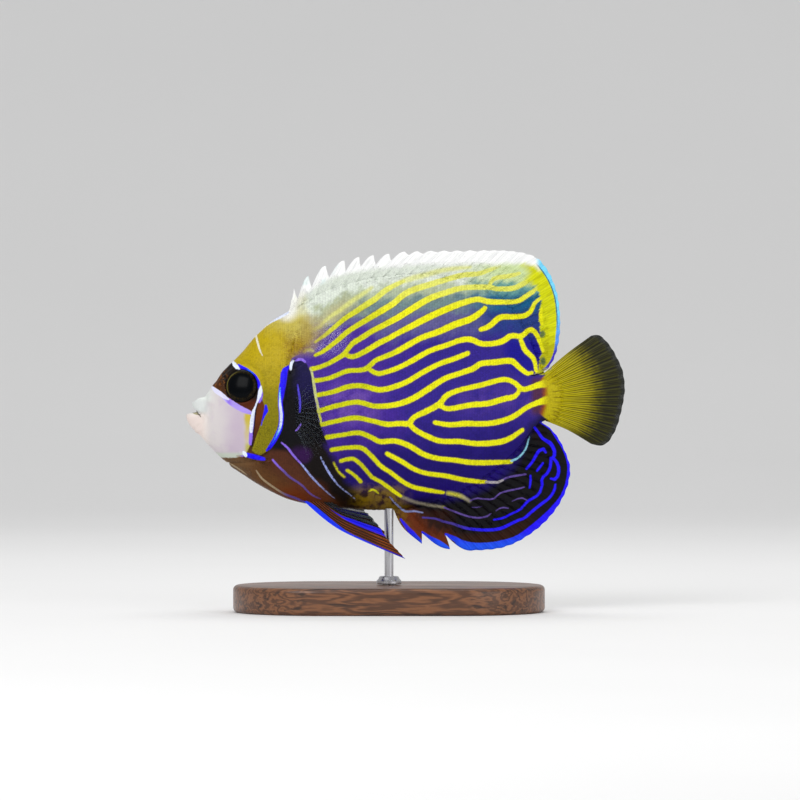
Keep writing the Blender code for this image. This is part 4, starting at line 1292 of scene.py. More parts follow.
    def line_colours(self, s: Canvas) -> dict[Layer, Value | Colour]:
        """The colours of the thin lines.

        Args:
            s: the canvas.

        Returns:
            Each layer's colour, in the order they are laid.
        """
        chest = s.x(440, 420)
        violet = s.over(
            self.line_violet,
            (srgb(98, 76, 156), s.y(462, 474)),
            (srgb(186, 176, 236), s.x(230, 224)),
            (srgb(172, 150, 236), s.y(418, 410) * s.x(262, 254) * s.x(228, 234)),
            (srgb(84, 70, 220), s.x(292, 296) * s.y(380, 384) * s.y(420, 414)),
            (srgb(168, 148, 116), s.x(290, 276) * s.ramp(s.py - s.px * 0.62, 304, 308)),
        )
        blue = s.over(
            self.line_blue,
            (srgb(72, 56, 150), s.x(486, 450) * s.x(400, 420) * s.y(532, 528)),
            (self.line_azure, s.y(528, 548, 8) * 0.85),
        )
        gill = s.mix(self.ice, self.line_azure, s.y(424, 444))
        beside = s.mix(srgb(198, 202, 132), srgb(192, 194, 70), s.y(402, 416))
        pale = s.over(
            self.line_white,
            (gill, s.x(262, 266) * s.x(286, 283) * s.y(380, 384) * s.near(s.py, 413, 8, 22)),
            (srgb(170, 164, 168), s.x(478, 484) * s.x(508, 504) * s.y(474, 478)),
            (beside, s.x(306, 309) * s.x(328, 324) * s.y(430, 424)),
            (srgb(160, 174, 240), s.y(448, 460) * s.x(296, 302) * chest),
            (srgb(216, 212, 240), s.x(236, 228) * s.y(384, 392) * 0.8),
            (srgb(120, 126, 170), s.y(470, 494) * s.x(300, 306) * chest * 0.8),
            (srgb(140, 205, 224), s.x(506, 513)),
            # cream on the pale lines of the nape, with the front end of the painted rim highlight
            (srgb(238, 234, 208), s.x(270, 266) * s.y(358, 356) * s.x(250, 252)),
        )
        # colour of the dark edge and painted shade lines: olive-brown at the mouth's slit, umber elsewhere
        dark = s.mix(self.umber, srgb(78, 70, 46), s.x(214, 206))
        return {
            Layer.VIOLET: violet, Layer.BLUE: blue, Layer.AZURE: self.line_azure, Layer.PALE: pale,
            Layer.DARK: dark,
        }

    def thin_lines(self, s: Canvas, under: Value) -> Value:
        """The blue margin of the anal fin, painted shade inside the mouth and the thin lines.

        Args:
            s: the canvas.
            under: the colour that it is laid over.

        Returns:
            The new colour.
        """
        wide = s.ramp(s.py, 430, 490, 1.4, 3) + s.ramp(s.py, 500, 545, 0, 3.6)
        margin = s.fields[Layer.ANAL_EDGE] + s.ragged * 0.5 - wide
        blue = s.mix(self.line_blue, self.line_azure, s.y(528, 548, 8) * 0.85)
        here = s.ramp(s.px + s.py * 0.5, 722, 730) * s.y(418, 426)
        # the inside of the mouth is darkened: painted shade
        made = s.over(
            under, (blue, s.ramp(margin, 0.5, -0.5) * here), (srgb(64, 40, 30), s.attribute("inner"))
        )
        for layer, colour in self.line_colours(s).items():
            line = s.fields[layer] + s.ragged * 0.6
            if layer is Layer.VIOLET:
                line = line + s.y(470, 486) * s.x(436, 450) * 0.3
            made = s.mix(made, colour, s.ramp(line, 0.5, -0.35))
        return made

    def make(self, name: str, surface: Surface) -> bpy.types.Material:
        """The painted finish for one kind of surface.

        Args:
            name: the material's name.
            surface: what it is for.

        Returns:
            The material.
        """
        s = Canvas(name, specular_ior_level=0.14)
        colour = self.ground(s)
        for coat in (
            self.belly, self.stripes, self.back, self.stalk, self.forehead, self.face, self.snout,
            self.thin_lines,
        ):
            colour = coat(s, colour)
        grain = s.noise(4200, 2)
        rough = s.ramp(grain, 0.2, 0.8, 0.4, 0.52)
        if surface is Surface.SCALES:
            tone, rim = s.attribute("tone"), s.attribute("rim")
            colour = s.tint(colour, srgb(176, 172, 182), s.ramp(tone, 0, 1) * 0.26)
            colour = s.tint(colour, srgb(120, 112, 124), rim * rim * 0.28)
            rough = s.ramp(tone, -1, 1, 0.36, 0.5)
        if surface is Surface.FIN:
            fibre = s.noise_at(s.attribute("across") * 300, s.attribute("share") * 3)
            colour = s.tint(colour, srgb(150, 150, 160), s.ramp(fibre, 0.45, 0.75) * 0.25)
            colour = s.tint(colour, srgb(170, 170, 180), s.ramp(s.attribute("ray"), 0.5, 0.1) * 0.16)
        s.bump(grain, 0.35, 0.00006)
        return s.dress(base_color=colour, roughness=rough)


@dataclass(frozen=True)
class TailPaint:
    """Yellow at the root, olive outwards, dark slits between the rays and a dim clear margin."""

    root: Colour = srgb(204, 192, 6)
    middle: Colour = srgb(164, 154, 12)
    outer: Colour = srgb(56, 56, 12)
    slit: Colour = srgb(16, 12, 5)
    clear: Colour = srgb(32, 34, 32)

    def make(self, name: str) -> bpy.types.Material:
        """The tail fin's finish.

        Args:
            name: the material's name.

        Returns:
            The material.
        """
        s = Shade(name, specular_ior_level=0.2, roughness=0.45)
        ray, share, across = s.attribute("ray"), s.attribute("share"), s.attribute("across")
        count = TAIL_RAYS - 1.0
        uneven = s.noise_at(across * 46, across * 9) - 0.5
        fibre = s.noise_at(across * 130, share * 4) - 0.5
        cloud = s.noise(700, 2) - 0.5
        out, start = share + cloud * 0.16, share + uneven * 0.16
        colour = s.over(
            self.root, (self.middle, s.ramp(out, 0.12, 0.5)), (self.outer, s.ramp(out, 0.44, 0.76))
        )
        lines = s.math("COSINE", across * (count * 3 * 2 * math.pi) + uneven * 3) + fibre * 2.6
        lines = s.ramp(lines, 0.5, -0.9) * s.ramp(share, 0.04, 0.26, 0.35, 0.95)
        colour = s.tint(colour, srgb(150, 142, 70), lines)
        aside = s.math("PINGPONG", across * count, 0.5)
        slits = s.ramp(aside, 0.36, 0.46) * s.ramp(start, 0.52, 0.64) * s.ramp(start, 0.97, 0.88)
        slits = slits.most(s.ramp(aside, 0.1, 0.03) * s.ramp(start, 0.7, 0.77) * s.ramp(start, 0.93, 0.86))
        edge = s.ramp(share + cloud * 0.05, 0.86, 0.96)
        colour = s.over(colour, (self.slit, slits * 0.94), (self.clear, edge * 0.92))
        s.bump(s.noise(3800, 2), 0.3, 0.00005)
        return s.dress(base_color=colour, alpha=1 - edge * 0.2 * s.ramp(ray, 0.9, 0.2))


@dataclass(frozen=True)
class ClearFinPaint:
    """A glassy membrane on thin pale rays."""

    ray: Colour = srgb(92, 104, 112)
    web: Colour = srgb(48, 54, 62)

    def make(self, name: str) -> bpy.types.Material:
        """The pectoral fins' finish.

        Args:
            name: the material's name.

        Returns:
            The material.
        """
        s = Shade(name, specular_ior_level=0.16, roughness=0.4)
        ray, share = s.attribute("ray"), s.attribute("share")
        root = s.ramp(share, 0.2, 0.05)
        colour = s.over(self.web, (self.ray, s.ramp(ray, 0.3, 0.8)), (srgb(12, 8, 34), root))
        see = s.ramp(ray, 0.35, 0.9, 0.03, 0.17) * s.ramp(share, 0.85, 0.3, 0.3, 1)
        s.bump(s.noise(3200, 2), 0.2, 0.00004)
        return s.dress(base_color=colour, alpha=see.most(root * 0.8))


@dataclass(frozen=True)
class PelvicPaint:
    """A blue leading spine, rusty rays on a brown web, a second blue blade and a thin grey trailing part."""

    blue: Colour = srgb(26, 60, 250)
    deep: Colour = srgb(44, 24, 190)
    ray: Colour = srgb(172, 86, 12)
    web: Colour = srgb(52, 21, 4)
    trail: Colour = srgb(44, 56, 58)

    def make(self, name: str) -> bpy.types.Material:
        """The belly fins' finish.

        Args:
            name: the material's name.

        Returns:
            The material.
        """
        s = Shade(name, specular_ior_level=0.2, roughness=0.42)
        ray, share, across = s.attribute("ray"), s.attribute("share"), s.attribute("across")
        fibre = s.noise_at(across * 160, share * 3) - 0.5
        back = s.ramp(across, 0.65, 0.71)
        wide = s.ramp(share, 0, 0.16, 0.14, 0.24) - s.ramp(share, 0.28, 0.62, 0, 0.14)
        wide = wide - s.ramp(share, 0.7, 1, 0, 0.04)
        blade = s.math("ABSOLUTE", across - 0.62) - s.ramp(share, 0.22, 0.7, 0, 0.08)
        colour = s.over(
            self.web,
            (self.ray, s.ramp(ray + fibre * 0.6, 0.52, 0.96)),
            (s.mix(srgb(12, 10, 14), self.trail, s.ramp(ray + fibre * 0.5, 0.3, 0.9)), back),
            (s.mix(self.blue, self.deep, s.ramp(share, 0.6, 0.95)), s.ramp(across - wide, 0.01, -0.01)),
            (srgb(20, 12, 236), s.ramp(blade, 0.012, -0.012) * s.ramp(share, 0.22, 0.3)),
        )
        s.bump(s.noise(3200, 2), 0.3, 0.00005)
        return s.dress(base_color=colour, alpha=1 - back * 0.5 * s.ramp(ray, 0.9, 0.3))


@dataclass(frozen=True)
class EyePaint:
    """A wide black pupil in a dark iris with a thin golden ring, under a wet gloss."""

    pupil_px: float = 12.6
    ring_px: float = 14.4

    def make(self, name: str) -> bpy.types.Material:
        """The eye's finish.

        Args:
            name: the material's name.

        Returns:
            The material.
        """
        s = Shade(name, roughness=0.2, specular_ior_level=0.06)
        out, fibre = s.attribute("out"), s.noise(1500, 3)
        ring = s.near(out, self.ring_px, 0.8, 0.2) * s.ramp(s.attribute("turn"), 0.3, 1)
        iris = s.mix(srgb(8, 6, 4), srgb(40, 32, 12), s.ramp(fibre, 0.4, 0.7))
        colour = s.over(
            srgb(2, 4, 7),
            (iris, s.ramp(out + (fibre - 0.5) * 0.8, self.pupil_px - 0.5, self.pupil_px + 0.5)),
            (srgb(104, 96, 36), ring * 0.8),
            (srgb(10, 5, 3), s.ramp(out, 15, 15.8)),
        )
        return s.dress(base_color=colour)


@dataclass(frozen=True)
class WoodPaint:
    """Dark walnut with long grain under a satin varnish."""

    light: Colour = srgb(126, 80, 48)
    dark: Colour = srgb(58, 32, 18)
    pore: Colour = srgb(34, 18, 10)

    def make(self, name: str) -> bpy.types.Material:
        """The base's finish.

        Args:
            name: the material's name.

        Returns:
            The material.
        """
        s = Shade(name, coat_weight=0.35, coat_roughness=0.2, specular_ior_level=0.4)
        figure = s.noise(26, 4, (1, 7, 7))
        rings = s.near(s.math("FRACT", figure * 9), 0.5, 0.5, 0.05)
        pores = s.ramp(s.noise(420, 3, (0.12, 1.6, 1.6)), 0.56, 0.66)
        colour = s.over(self.light, (self.dark, rings * 0.75), (self.pore, pores * 0.7))
        s.bump(1 - pores, 0.4, 0.00008)
        return s.dress(base_color=colour, roughness=s.ramp(figure, 0.3, 0.7, 0.36, 0.48))


@dataclass(frozen=True)
class SteelPaint:
    """Brushed steel."""

    dull: Colour = srgb(168, 168, 172)
    bright: Colour = srgb(206, 206, 210)

    def make(self, name: str) -> bpy.types.Material:
        """The rod's and the collar's finish.

        Args:
            name: the material's name.

        Returns:
            The material.
        """
        s = Shade(name, metallic=1.0)
        brush = s.noise(900, 3, (1, 1, 0.06))
        s.bump(brush, 0.15, 0.00003)
        colour = s.mix(self.dull, self.bright, brush)
        return s.dress(base_color=colour, roughness=s.ramp(brush, 0.3, 0.7, 0.24, 0.38))


@dataclass
class Fold:
    """A ridge or groove in the skin along a course of the side view.

    The height is in millimetres; where the step isn't 0, the skin ahead of the course stands higher.
    """

    course: list[Point]
    width_px: float
    height: float
    step: float = 0.0
    step_px: float = 6.0
    ahead: int = -1  # the side of the course that the step is on


CHEEK_EDGE = Fold(
    [(262.5, 399), (259.5, 412), (256.5, 425), (254, 438), (251.5, 448), (246, 453.5)], 1.0, -0.12, 0.16, 5
)
FOLDS = [
    Fold([(206, 396.5), (206.6, 402), (205.3, 408), (202.5, 413)], 1.1, -0.16),
    Fold([(202.5, 413.5), (203.2, 418), (200.6, 424), (195, 429)], 1.2, -0.2),
    Fold([(208.5, 403), (209.6, 411), (208.5, 420), (204.5, 429), (201, 433)], 1.0, -0.1),
    Fold([(197.5, 412.4), (199.2, 414), (200.4, 416), (201.3, 418.5)], 1.2, -0.28),
    Fold([(202.5, 414), (205.5, 415.8), (208, 419)], 1.0, -0.14),
    Fold([(231, 404), (239, 410.5), (249, 415.5), (256, 412)], 1.6, -0.07),
    CHEEK_EDGE,
    Fold([(241, 453), (250, 455.8), (259, 458.4), (268, 460.6)], 1.7, 0.55),
    Fold([(238, 457.5), (252, 461.2), (266, 463)], 1.4, -0.2),
    Fold([(230, 365), (236, 370.5), (243, 369.5), (251, 373)], 1.8, 0.08),
    Fold([(187.8, 411.5), (187.8, 418), (190.5, 426.5), (195, 431.5)], 3.6, 0.4),
    Fold([(192, 402), (197.5, 398.6), (204, 397)], 2.6, 0.28),
    Fold([(208, 393), (213, 385.5)], 3.0, 0.3),
    Fold(GILL_LINE, 1.1, -0.42, 0.36, 9, ahead=1),
]
FOLD_REACH = 26  # pixels; it is a whole number, so the folds go by whole pixels too
FOLD_POINTS = 30

# Rings round a spot of the head: how far out in pixels, how wide, and how high in millimetres
NOSTRIL_RINGS = ((0, 1.3, -0.6), (2.4, 0.9, 0.14))
EYE_RINGS = ((18, 1.7, 0.26), (21.5, 1.6, -0.12))
SOCKET_DEPTH = 2.6

SIDES = ((-1, "left"), (1, "right"))


@dataclass
class Body:
    """The fish's body: one loft through the stations, with its head's folds and its fin roots."""

    around: int = 264
    lengthwise: int = 366
    coat_depth: float = 0.0001
    rows: Array = field(
        default_factory=lambda: np.array([[*mid, *up, *down, *rest] for mid, up, down, *rest in STATIONS])
    )

    def loft(self, t: Array, angle: Array) -> Array:
        """The plain loft.

        Args:
            t: shares of the way from mouth to tail.
            angle: angles about the body, from its right side over the back.

        Returns:
            The points there.
        """
        row = blend(self.rows, t)
        rise, across = np.sin(angle), np.cos(angle)
        up = rise >= 0
        end = np.where(up[:, None], row[:, 2:4], row[:, 4:6])
        lens = np.where(up, row[:, 7], row[:, 8])
        side = row[:, 0:2] + (end - row[:, 0:2]) * np.abs(rise)[:, None]
        return from_picture(side, np.sign(across) * row[:, 6] * MM * np.abs(across) ** (2 * lens))

    def with_fin_roots(self, t: Array, angle: Array) -> Array:
        """The loft, eased outwards where the middle fins grow from it.

        Args:
            t: shares of the way from mouth to tail.
            angle: angles about the body.

        Returns:
            The points there.
        """
        place = self.loft(t, angle)
        px, rise = to_picture(place)[:, 0], np.sin(angle)
        above = smooth(rise, 0.55, 0.9) * smooth(px, *DORSAL_START_PX) * smooth(px, *MIDDLE_FINS_END_PX)
        below = smooth(rise, -0.55, -0.9) * smooth(px, *ANAL_START_PX) * smooth(px, *MIDDLE_FINS_END_PX)
        grown = np.maximum(above, below)
        wide = FIN_ROOT_HALF * grown
        y = np.abs(place[:, 1])
        near = np.clip(FIN_FILLET - np.abs(y - wide), 0, None)
        eased = np.maximum(y, wide) + near**2 / (4 * FIN_FILLET) * grown
        place[:, 1] = np.where(y > 1e-7, np.sign(place[:, 1]) * eased, 0)
        return place

    def out(self, shape: Shape, t: Array, angle: Array) -> tuple[Array, Array]:
        """Which way a shape faces and runs.

        Args:
            shape: gives the points.
            t: shares of the way from mouth to tail.
            angle: angles about the body.

        Returns:
            The outward normals, and the directions towards the tail.
        """
        dt, da = 0.0008, 0.004
        lengthwise = shape(np.clip(t + dt, 0, 1), angle) - shape(np.clip(t - dt, 0, 1), angle)
        normal = np.cross(lengthwise, shape(t, angle + da) - shape(t, angle - da))
        size = np.linalg.norm(normal, axis=1)
        normal = normal / np.maximum(size, 1e-15)[:, None]
        outward = np.stack((np.zeros_like(t), np.cos(angle), np.sin(angle)), axis=1)
        normal *= np.where(np.sum(normal * outward, axis=1) < 0, -1, 1)[:, None]
        ends = np.where(t < 0.5, -1.0, 1.0)[:, None] * np.array([[1.0, 0, 0]])
        normal = np.where((size < 1e-14)[:, None], ends, normal)
        return normal, lengthwise / np.maximum(np.linalg.norm(lengthwise, axis=1), 1e-15)[:, None]

    def relief(self, seen: Array) -> Array:
        """How far the head's folds, nostrils and eye sockets raise the skin.

        Args:
            seen: side-view points.

        Returns:
            Heights in metres.
        """
        raised = np.zeros(len(seen))
        for fold in FOLDS:
            gap, side = nearest(seen, along(unmarked(fold.course), FOLD_POINTS), FOLD_REACH)
            ends = smooth(gap, FOLD_REACH, FOLD_REACH - 6)
            raised += fold.height * bell(gap, fold.width_px) * ends
            raised += np.where(side * fold.ahead > 0, fold.step * bell(gap, fold.step_px), 0) * ends
        for spot, rings in (*((spot, NOSTRIL_RINGS) for spot in NOSTRILS_PX), (EYE_PX, EYE_RINGS)):
            for radius, width, height in rings:
                raised += height * bell(from_spot(seen, spot) - radius, width)
        raised -= SOCKET_DEPTH * smooth(from_spot(seen, EYE_PX), EYE_RIM_PX + 0.9, EYE_RIM_PX - 3.5)
        return raised * MM

    def surface(self, t: Array, angle: Array) -> Array:
        """The skin, sunk under the solids by the depth of the coat.

        Args:
            t: shares of the way from mouth to tail.
            angle: angles about the body.

        Returns:
            The points there.
        """
        place = self.with_fin_roots(t, angle)
        normal, _ = self.out(self.with_fin_roots, t, angle)
        return place + normal * (self.relief(to_picture(place)) - self.coat_depth)[:, None]

    def build(self, finish: bpy.types.Material) -> None:
        """The skin, which stands for head, trunk, tail base and gill covers.

        Args:
            finish: its material.
        """
        mesh, t = ball_mesh("skin", self.around, self.lengthwise, self.surface)
        face_mesh_out(mesh)
        MARKINGS.paint(mesh)
        last = len(self.rows) - 1
        # how far inside the mouth a point lies, for the painted shade there
        store(mesh, "inner", smooth(t, 1.5 / last, 1.0 / last))
        nodes = ("head", "trunk", "tail_base", "gill_cover_left", "gill_cover_right")
        add_piece("skin", mesh, finish, nodes)


@dataclass
class ScaleCoat:
    """Overlapping scales over the skin, each a small closed plate, in rows from head to tail."""

    body: Body
    sides: int = 8
    seed: int = 5
    thickness: float = 0.13  # of a scale's spacing
    tilt: float = 0.085
    half_size: Point = (0.86, 0.62)  # a scale's half length and half width, in spacings
    forward: float = 0.12  # how far it lies off its root towards its free edge
    lift: float = 0.035
    jitter: float = 0.07
    clear_px: tuple[float, ...] = (1.2, 0.8, 21, 2, 3)  # from muzzle, mask, eye, gill and cheek edge
    ends_px: Point = (214, 559)  # from the first row to the last
    parted_px: float = 345  # where the front pieces end
    row_step: float = 0.92  # from row to row, in spacings
    map_px: Point = (200, -190)  # the corner of the texture map
    map_span: float = 380
    map_scale: float = 0.0015  # a scale's size on the map

    def plate(self) -> tuple[Array, Array, Array]:
        """One scale lying along X.

        Returns:
            Its points, its triangles and how near its rim each point is.
        """
        bm = bmesh.new()
        bmesh.ops.create_uvsphere(bm, u_segments=self.sides, v_segments=2, radius=1)
        bmesh.ops.triangulate(bm, faces=bm.faces)
        face_out(bm)
        bm.verts.index_update()
        points = np.array([v.co[:] for v in bm.verts])
        faces = np.array([[v.index for v in f.verts] for f in bm.faces])
        bm.free()
        rim = (np.abs(points[:, 2]) < 0.5).astype(float)
        points[:, 1] *= 1 - 0.12 * points[:, 0]
        return points, faces, rim * (0.55 + 0.45 * np.clip(points[:, 0], 0, 1))

    def spacing(self, px: float) -> float:
        """The distance between scales along the body, in pixels."""
        return float(np.interp(px, (215, 262, 290, 320, 480, 530, 548), (1.5, 1.7, 2.3, 3.0, 2.9, 2.2, 1.7)))

    def step(self, t: float) -> float:
        """How much of the body's length one pixel takes.

        Args:
            t: the share of the way from mouth to tail.

        Returns:
            The share.
        """
        half = 0.004
        ends = to_picture(self.body.loft(np.array([t - half, t + half]), np.zeros(2)))[:, 0]
        return 2 * half / max(float(ends[1] - ends[0]), 0.1)

    def lattice(self, flank: int) -> list[Array]:
        """Where the scales of one flank root.

        Args:
            flank: -1 for the left one and 1 for the right.

        Returns:
            Shares along the body, angles, spacings and unwrapped places.
        """
        table = np.linspace(0.1, 0.996, 2600)
        middle = to_picture(self.body.loft(table, np.zeros_like(table)))[:, 0]
        rng = np.random.default_rng(self.seed + flank)
        fan = np.linspace(-math.pi / 2, math.pi / 2, 181)
        turned = fan if flank > 0 else math.pi - fan
        rows = []
        px, last = self.ends_px
        while px < last:
            gap = self.spacing(px)
            t = float(np.interp(px, middle, table))
            reach = lengths(self.body.with_fin_roots(np.full_like(turned, t), turned)) / PIXEL
            spots = np.arange(0.4 + 0.5 * (len(rows) % 2), reach[-1] / gap - 0.2) * gap
            spots = spots + rng.normal(0, self.jitter, len(spots)) * gap
            found = np.interp(spots, reach, turned)
            shares = t + rng.normal(0, self.jitter, len(found)) * gap * self.step(t)
            flat = np.stack((np.full_like(found, px), spots - reach[len(fan) // 2]), axis=1)
            rows.append((shares, found, np.full_like(found, gap), flat))
            px += gap * self.row_step
        return [np.concatenate(parts) for parts in zip(*rows)]

    def keeps(self, seen: Array) -> Array:
        """Which places carry scales: not the muzzle, the mask, the eye or the edges of cheek and gill cover.

        Args:
            seen: side-view points.

        Returns:
            True or False for each.
        """
        fields = MARKINGS.fields(seen)
        slit, _ = nearest(seen, along(unmarked(GILL_LINE), 40), LINE_REACH)
        cheek, _ = nearest(seen, unmarked(CHEEK_EDGE.course), LINE_REACH)
        gaps = (fields[Layer.MUZZLE], fields[Layer.MASK], from_spot(seen, EYE_PX), slit, cheek)
        return np.all([gap > least for gap, least in zip(gaps, self.clear_px)], axis=0)

    def spread(self, name: str, finish: bpy.types.Material, rows: Sequence[Array]) -> None:
        """Sets a scale on every root and joins them in one piece.

        Args:
            name: the piece's name.
            finish: the scales' material.
            rows: the scales' places on the skin, the skin's normals there, directions towards the free
                edges, spacings in pixels, and places on the unwrapped skin, from 0 to 1.
        """
        roots, normals, lies, gaps, flat = rows
        rng = np.random.default_rng(self.seed)
        points, faces, rim = self.plate()
        count, corners = len(roots), len(points)
        lies = lies - normals * np.sum(lies * normals, axis=1)[:, None]
        lies /= np.linalg.norm(lies, axis=1)[:, None]
        size = gaps * PIXEL * rng.uniform(0.95, 1.06, count)
        turn = rng.normal(0, 0.05, count)[:, None]
        lie = lies * np.cos(turn) + np.cross(normals, lies) * np.sin(turn)
        wide = np.cross(normals, lie)
        tilt = self.tilt * rng.uniform(0.8, 1.25, count)
        x = points[None, :, 0] * self.half_size[0] + self.forward
        y = points[None, :, 1] * self.half_size[1]
        z = points[None, :, 2] * self.thickness * 0.5 + x * tilt[:, None] + self.lift
        made = lie[:, None] * x[..., None] + wide[:, None] * y[..., None] + normals[:, None] * z[..., None]
        made = (roots[:, None] + made * size[:, None, None]).reshape(-1, 3)
        index = (faces[None] + (np.arange(count) * corners)[:, None, None]).reshape(-1)
        mesh = bpy.data.meshes.new(name)
        mesh.vertices.add(len(made))
        mesh.vertices.foreach_set("co", made.astype(np.float32).ravel())
        mesh.loops.add(len(index))
        mesh.loops.foreach_set("vertex_index", index.astype(np.int32))
        mesh.polygons.add(len(index) // 3)
        mesh.polygons.foreach_set("loop_start", np.arange(0, len(index), 3, dtype=np.int32))
        mesh.update(calc_edges=True)
        mesh.shade_smooth()
        mesh.set_sharp_from_angle(angle=math.radians(60))
        store(mesh, "tone", np.repeat(rng.uniform(-1, 1, count), corners))
        store(mesh, "rim", np.tile(rim, count))
        patch = flat[:, None, :] + points[None, :, :2] * self.map_scale
        flat_map = mesh.uv_layers.new(name="OFBake")
        flat_map.data.foreach_set("uv", patch.reshape(-1, 2)[index].astype(np.float32).ravel())
        MARKINGS.paint(mesh)
        mesh.validate()
        add_piece(name, mesh, finish)

    def build(self, finish: bpy.types.Material) -> None:
        """The scales of both flanks, each in a front and a rear piece.

        Args:
            finish: their material.
        """
        for flank, word in SIDES:
            t, angle, gaps, flat = self.lattice(flank)
            roots = self.body.surface(t, angle)
            kept = self.keeps(to_picture(roots))
            normals, lies = self.body.out(self.body.surface, t[kept], angle[kept])
            rows = (roots[kept], normals, lies, gaps[kept], (flat[kept] - self.map_px) / self.map_span)
            front = to_picture(rows[0])[:, 0] < self.parted_px
            for part, end in ((front, "front"), (~front, "rear")):
                self.spread(f"scales_{word}_{end}", finish, [row[part] for row in rows])


def bowed(root: Array, middle: Array, tip: Array, share: Number) -> Array:
    """Places on smooth columns.

    Args:
        root: where each column starts.
        middle: a place that it passes halfway.
        tip: where it ends.
        share: how far along it the place is.

    Returns:
        The places.
    """
    inner = catmull_rom(root, root, middle, tip, share * 2)
    return np.where(share < 0.5, inner, catmull_rom(root, middle, tip, tip, share * 2 - 1))


@dataclass
class Fin:
    """A fin as one sheet of ray columns, thick at its rays and thin between them.

    Each row of roots, middles and tips is one column; rays counts along them where a ray stands.
    """

    name: str
    slot: str
    replaces: tuple[str, ...]
    roots: Array
    middles: Array
    tips: Array
    rays: Array
    thick: Point = (0.0020, 0.0006)
    web: float = 0.42
    least: float = 0.00022
    splits: Point = (0.45, 0.75)
    steps: int = 44
    slim: float = 0.0
    scaled: Point = (2.5, 0.66)  # the scales' spacing in pixels at the root, and how far out they reach

    def ridge(self, rays: Array, share: Array) -> Array:
        """How much of a ray's thickness each point has, with rays that part twice on their way out.

        Args:
            rays: where the points stand, counted in rays.
            share: how far out they are.

        Returns:
            Shares of a ray's thickness.
        """
        aside = rays - np.round(rays)
        near, far = (
            wide * smooth(share, split, split + over)
            for wide, split, over in zip((0.13, 0.07), self.splits, (0.3, 0.25))
        )
        width = 0.15 - 0.08 * smooth(share, 0, 1)
        best = np.zeros_like(share)
        for a, b in ((-1, -1), (-1, 1), (1, -1), (1, 1)):
            best = np.maximum(best, bell(aside - a * near - b * far, width))
        return best

    def build(self, finish: bpy.types.Material, painted: bool = False) -> bpy.types.Mesh:
        """The finished fin.

        Args:
            finish: its material.
            painted: whether it carries the body's markings.

        Returns:
            Its mesh.
        """
        across = len(self.roots) - 1
        bm = bmesh.new()
        bmesh.ops.create_grid(bm, x_segments=across, y_segments=self.steps, size=1)
        sheet = to_mesh(self.name, bm)
        grid = read_points(sheet)
        column = np.rint((grid[:, 0] + 1) / 2 * across).astype(int)
        share = (grid[:, 1] + 1) / 2
        columns = (line[column] for line in (self.roots, self.middles, self.tips))
        write_points(sheet, bowed(*columns, share[:, None]))
        ridge = self.ridge(self.rays[column], share)
        here = self.thick[0] + (self.thick[1] - self.thick[0]) * share
        web = np.maximum(here * (self.web + 0.3 * smooth(share, 0.2, 0)), self.least)
        full = web + (np.maximum(here, web) - web) * ridge
        full *= 0.35 + 0.65 * smooth(share, 1.0, 0.94)
        full *= 1 - self.slim * smooth(np.minimum(column, across - column) / across, 0.09, 0.0)
        for name, values in (("ray", ridge), ("share", share), ("across", column / across)):
            store(sheet, name, values)
        piece = new_object(self.name, sheet)
        group = piece.vertex_groups.new(name="thickness")
        for index, weight in enumerate(full / self.thick[0]):
            group.add([index], float(weight), "REPLACE")
        shell = piece.modifiers.new("thickness", "SOLIDIFY")
        shell.thickness = self.thick[0]
        shell.offset = 0
        shell.vertex_group = "thickness"
        bpy.context.view_layer.update()
        graph = bpy.context.evaluated_depsgraph_get()
        solid = bpy.data.meshes.new_from_object(piece.evaluated_get(graph))
        bpy.data.objects.remove(piece)
        solid.name = self.name
        face_mesh_out(solid)
        if painted:
            MARKINGS.paint(solid)
        add_piece(self.name, solid, finish, self.replaces)
        return solid


def flat_columns(roots: Array, tips: Array, bow: Number, fullest: float = 0.5) -> tuple[Array, Array, Array]:
    """Columns in the fish's middle plane.

    Args:
        roots: side-view points where they start.
        tips: side-view points where they end.
        bow: how far they stand off their chords, as a share of the chords.
        fullest: how far along they do.

    Returns:
        Their roots, middles and tips in metres.
    """
    root, tip = from_picture(roots), from_picture(tips)
    chord = tip - root
    middle = root + chord * fullest
    middle[:, 0] += chord[:, 2] * bow
    middle[:, 2] -= chord[:, 0] * bow
    return root, middle, tip


def spiny_margin(roots: Array, tips: Sequence[Point], notches: Sequence[Point], fine: int) -> Outline:
    """The outline of a fin whose web is notched behind each spine.

    Args:
        roots: the spines' roots.
        tips: the spines' tips.
        notches: the web's lowest point behind each spine but the last.
        fine: columns from one spine to the next.

    Returns:
        Root points, margin points and ray counts.
    """
    columns = []
    for i, (tip, ahead, notch) in enumerate(zip(tips, tips[1:], notches)):
        for k in range(fine):
            u = k / fine
            if u < NOTCH_SHARE:
                v = u / NOTCH_SHARE
                start, end, fall = tip, notch, v**0.8
            else:
                v = (u - NOTCH_SHARE) / (1 - NOTCH_SHARE)
                start, end, fall = notch, ahead, math.sin(v * math.pi / 2) ** 0.95
            edge = (start[0] + (end[0] - start[0]) * v, start[1] + (end[1] - start[1]) * fall)
            columns.append((roots[i] + (roots[i + 1] - roots[i]) * u, edge, i + u))
    columns.append((roots[-1], tips[-1], len(tips) - 1.0))
    return tuple(np.array(line) for line in zip(*columns))


def soft_margin(
    roots: Sequence[Point], tips: Sequence[Point], rays: int, fine: int, scallop: float
) -> Outline:
    """The outline of a soft fin, drawn in a little between its rays.

    Args:
        roots: points of its root line.
        tips: points of its margin.
        rays: how many rays it has.
        fine: columns from one ray to the next.
        scallop: how far it is drawn in, in pixels.

    Returns:
        Root points, margin points and ray counts.
    """
    count = (rays - 1) * fine + 1
    root, tip = along(roots, count), along(tips, count)
    u = np.arange(count) / fine
    return root, drawn_in(root, tip, scallop * np.sin(u * math.pi) ** 2), u


def drawn_in(roots: Array, tips: Array, depth: Array) -> Array:
    """The tips, each moved towards its root by its depth."""
    return tips + (roots - tips) / np.linalg.norm(roots - tips, axis=1)[:, None] * depth[:, None]


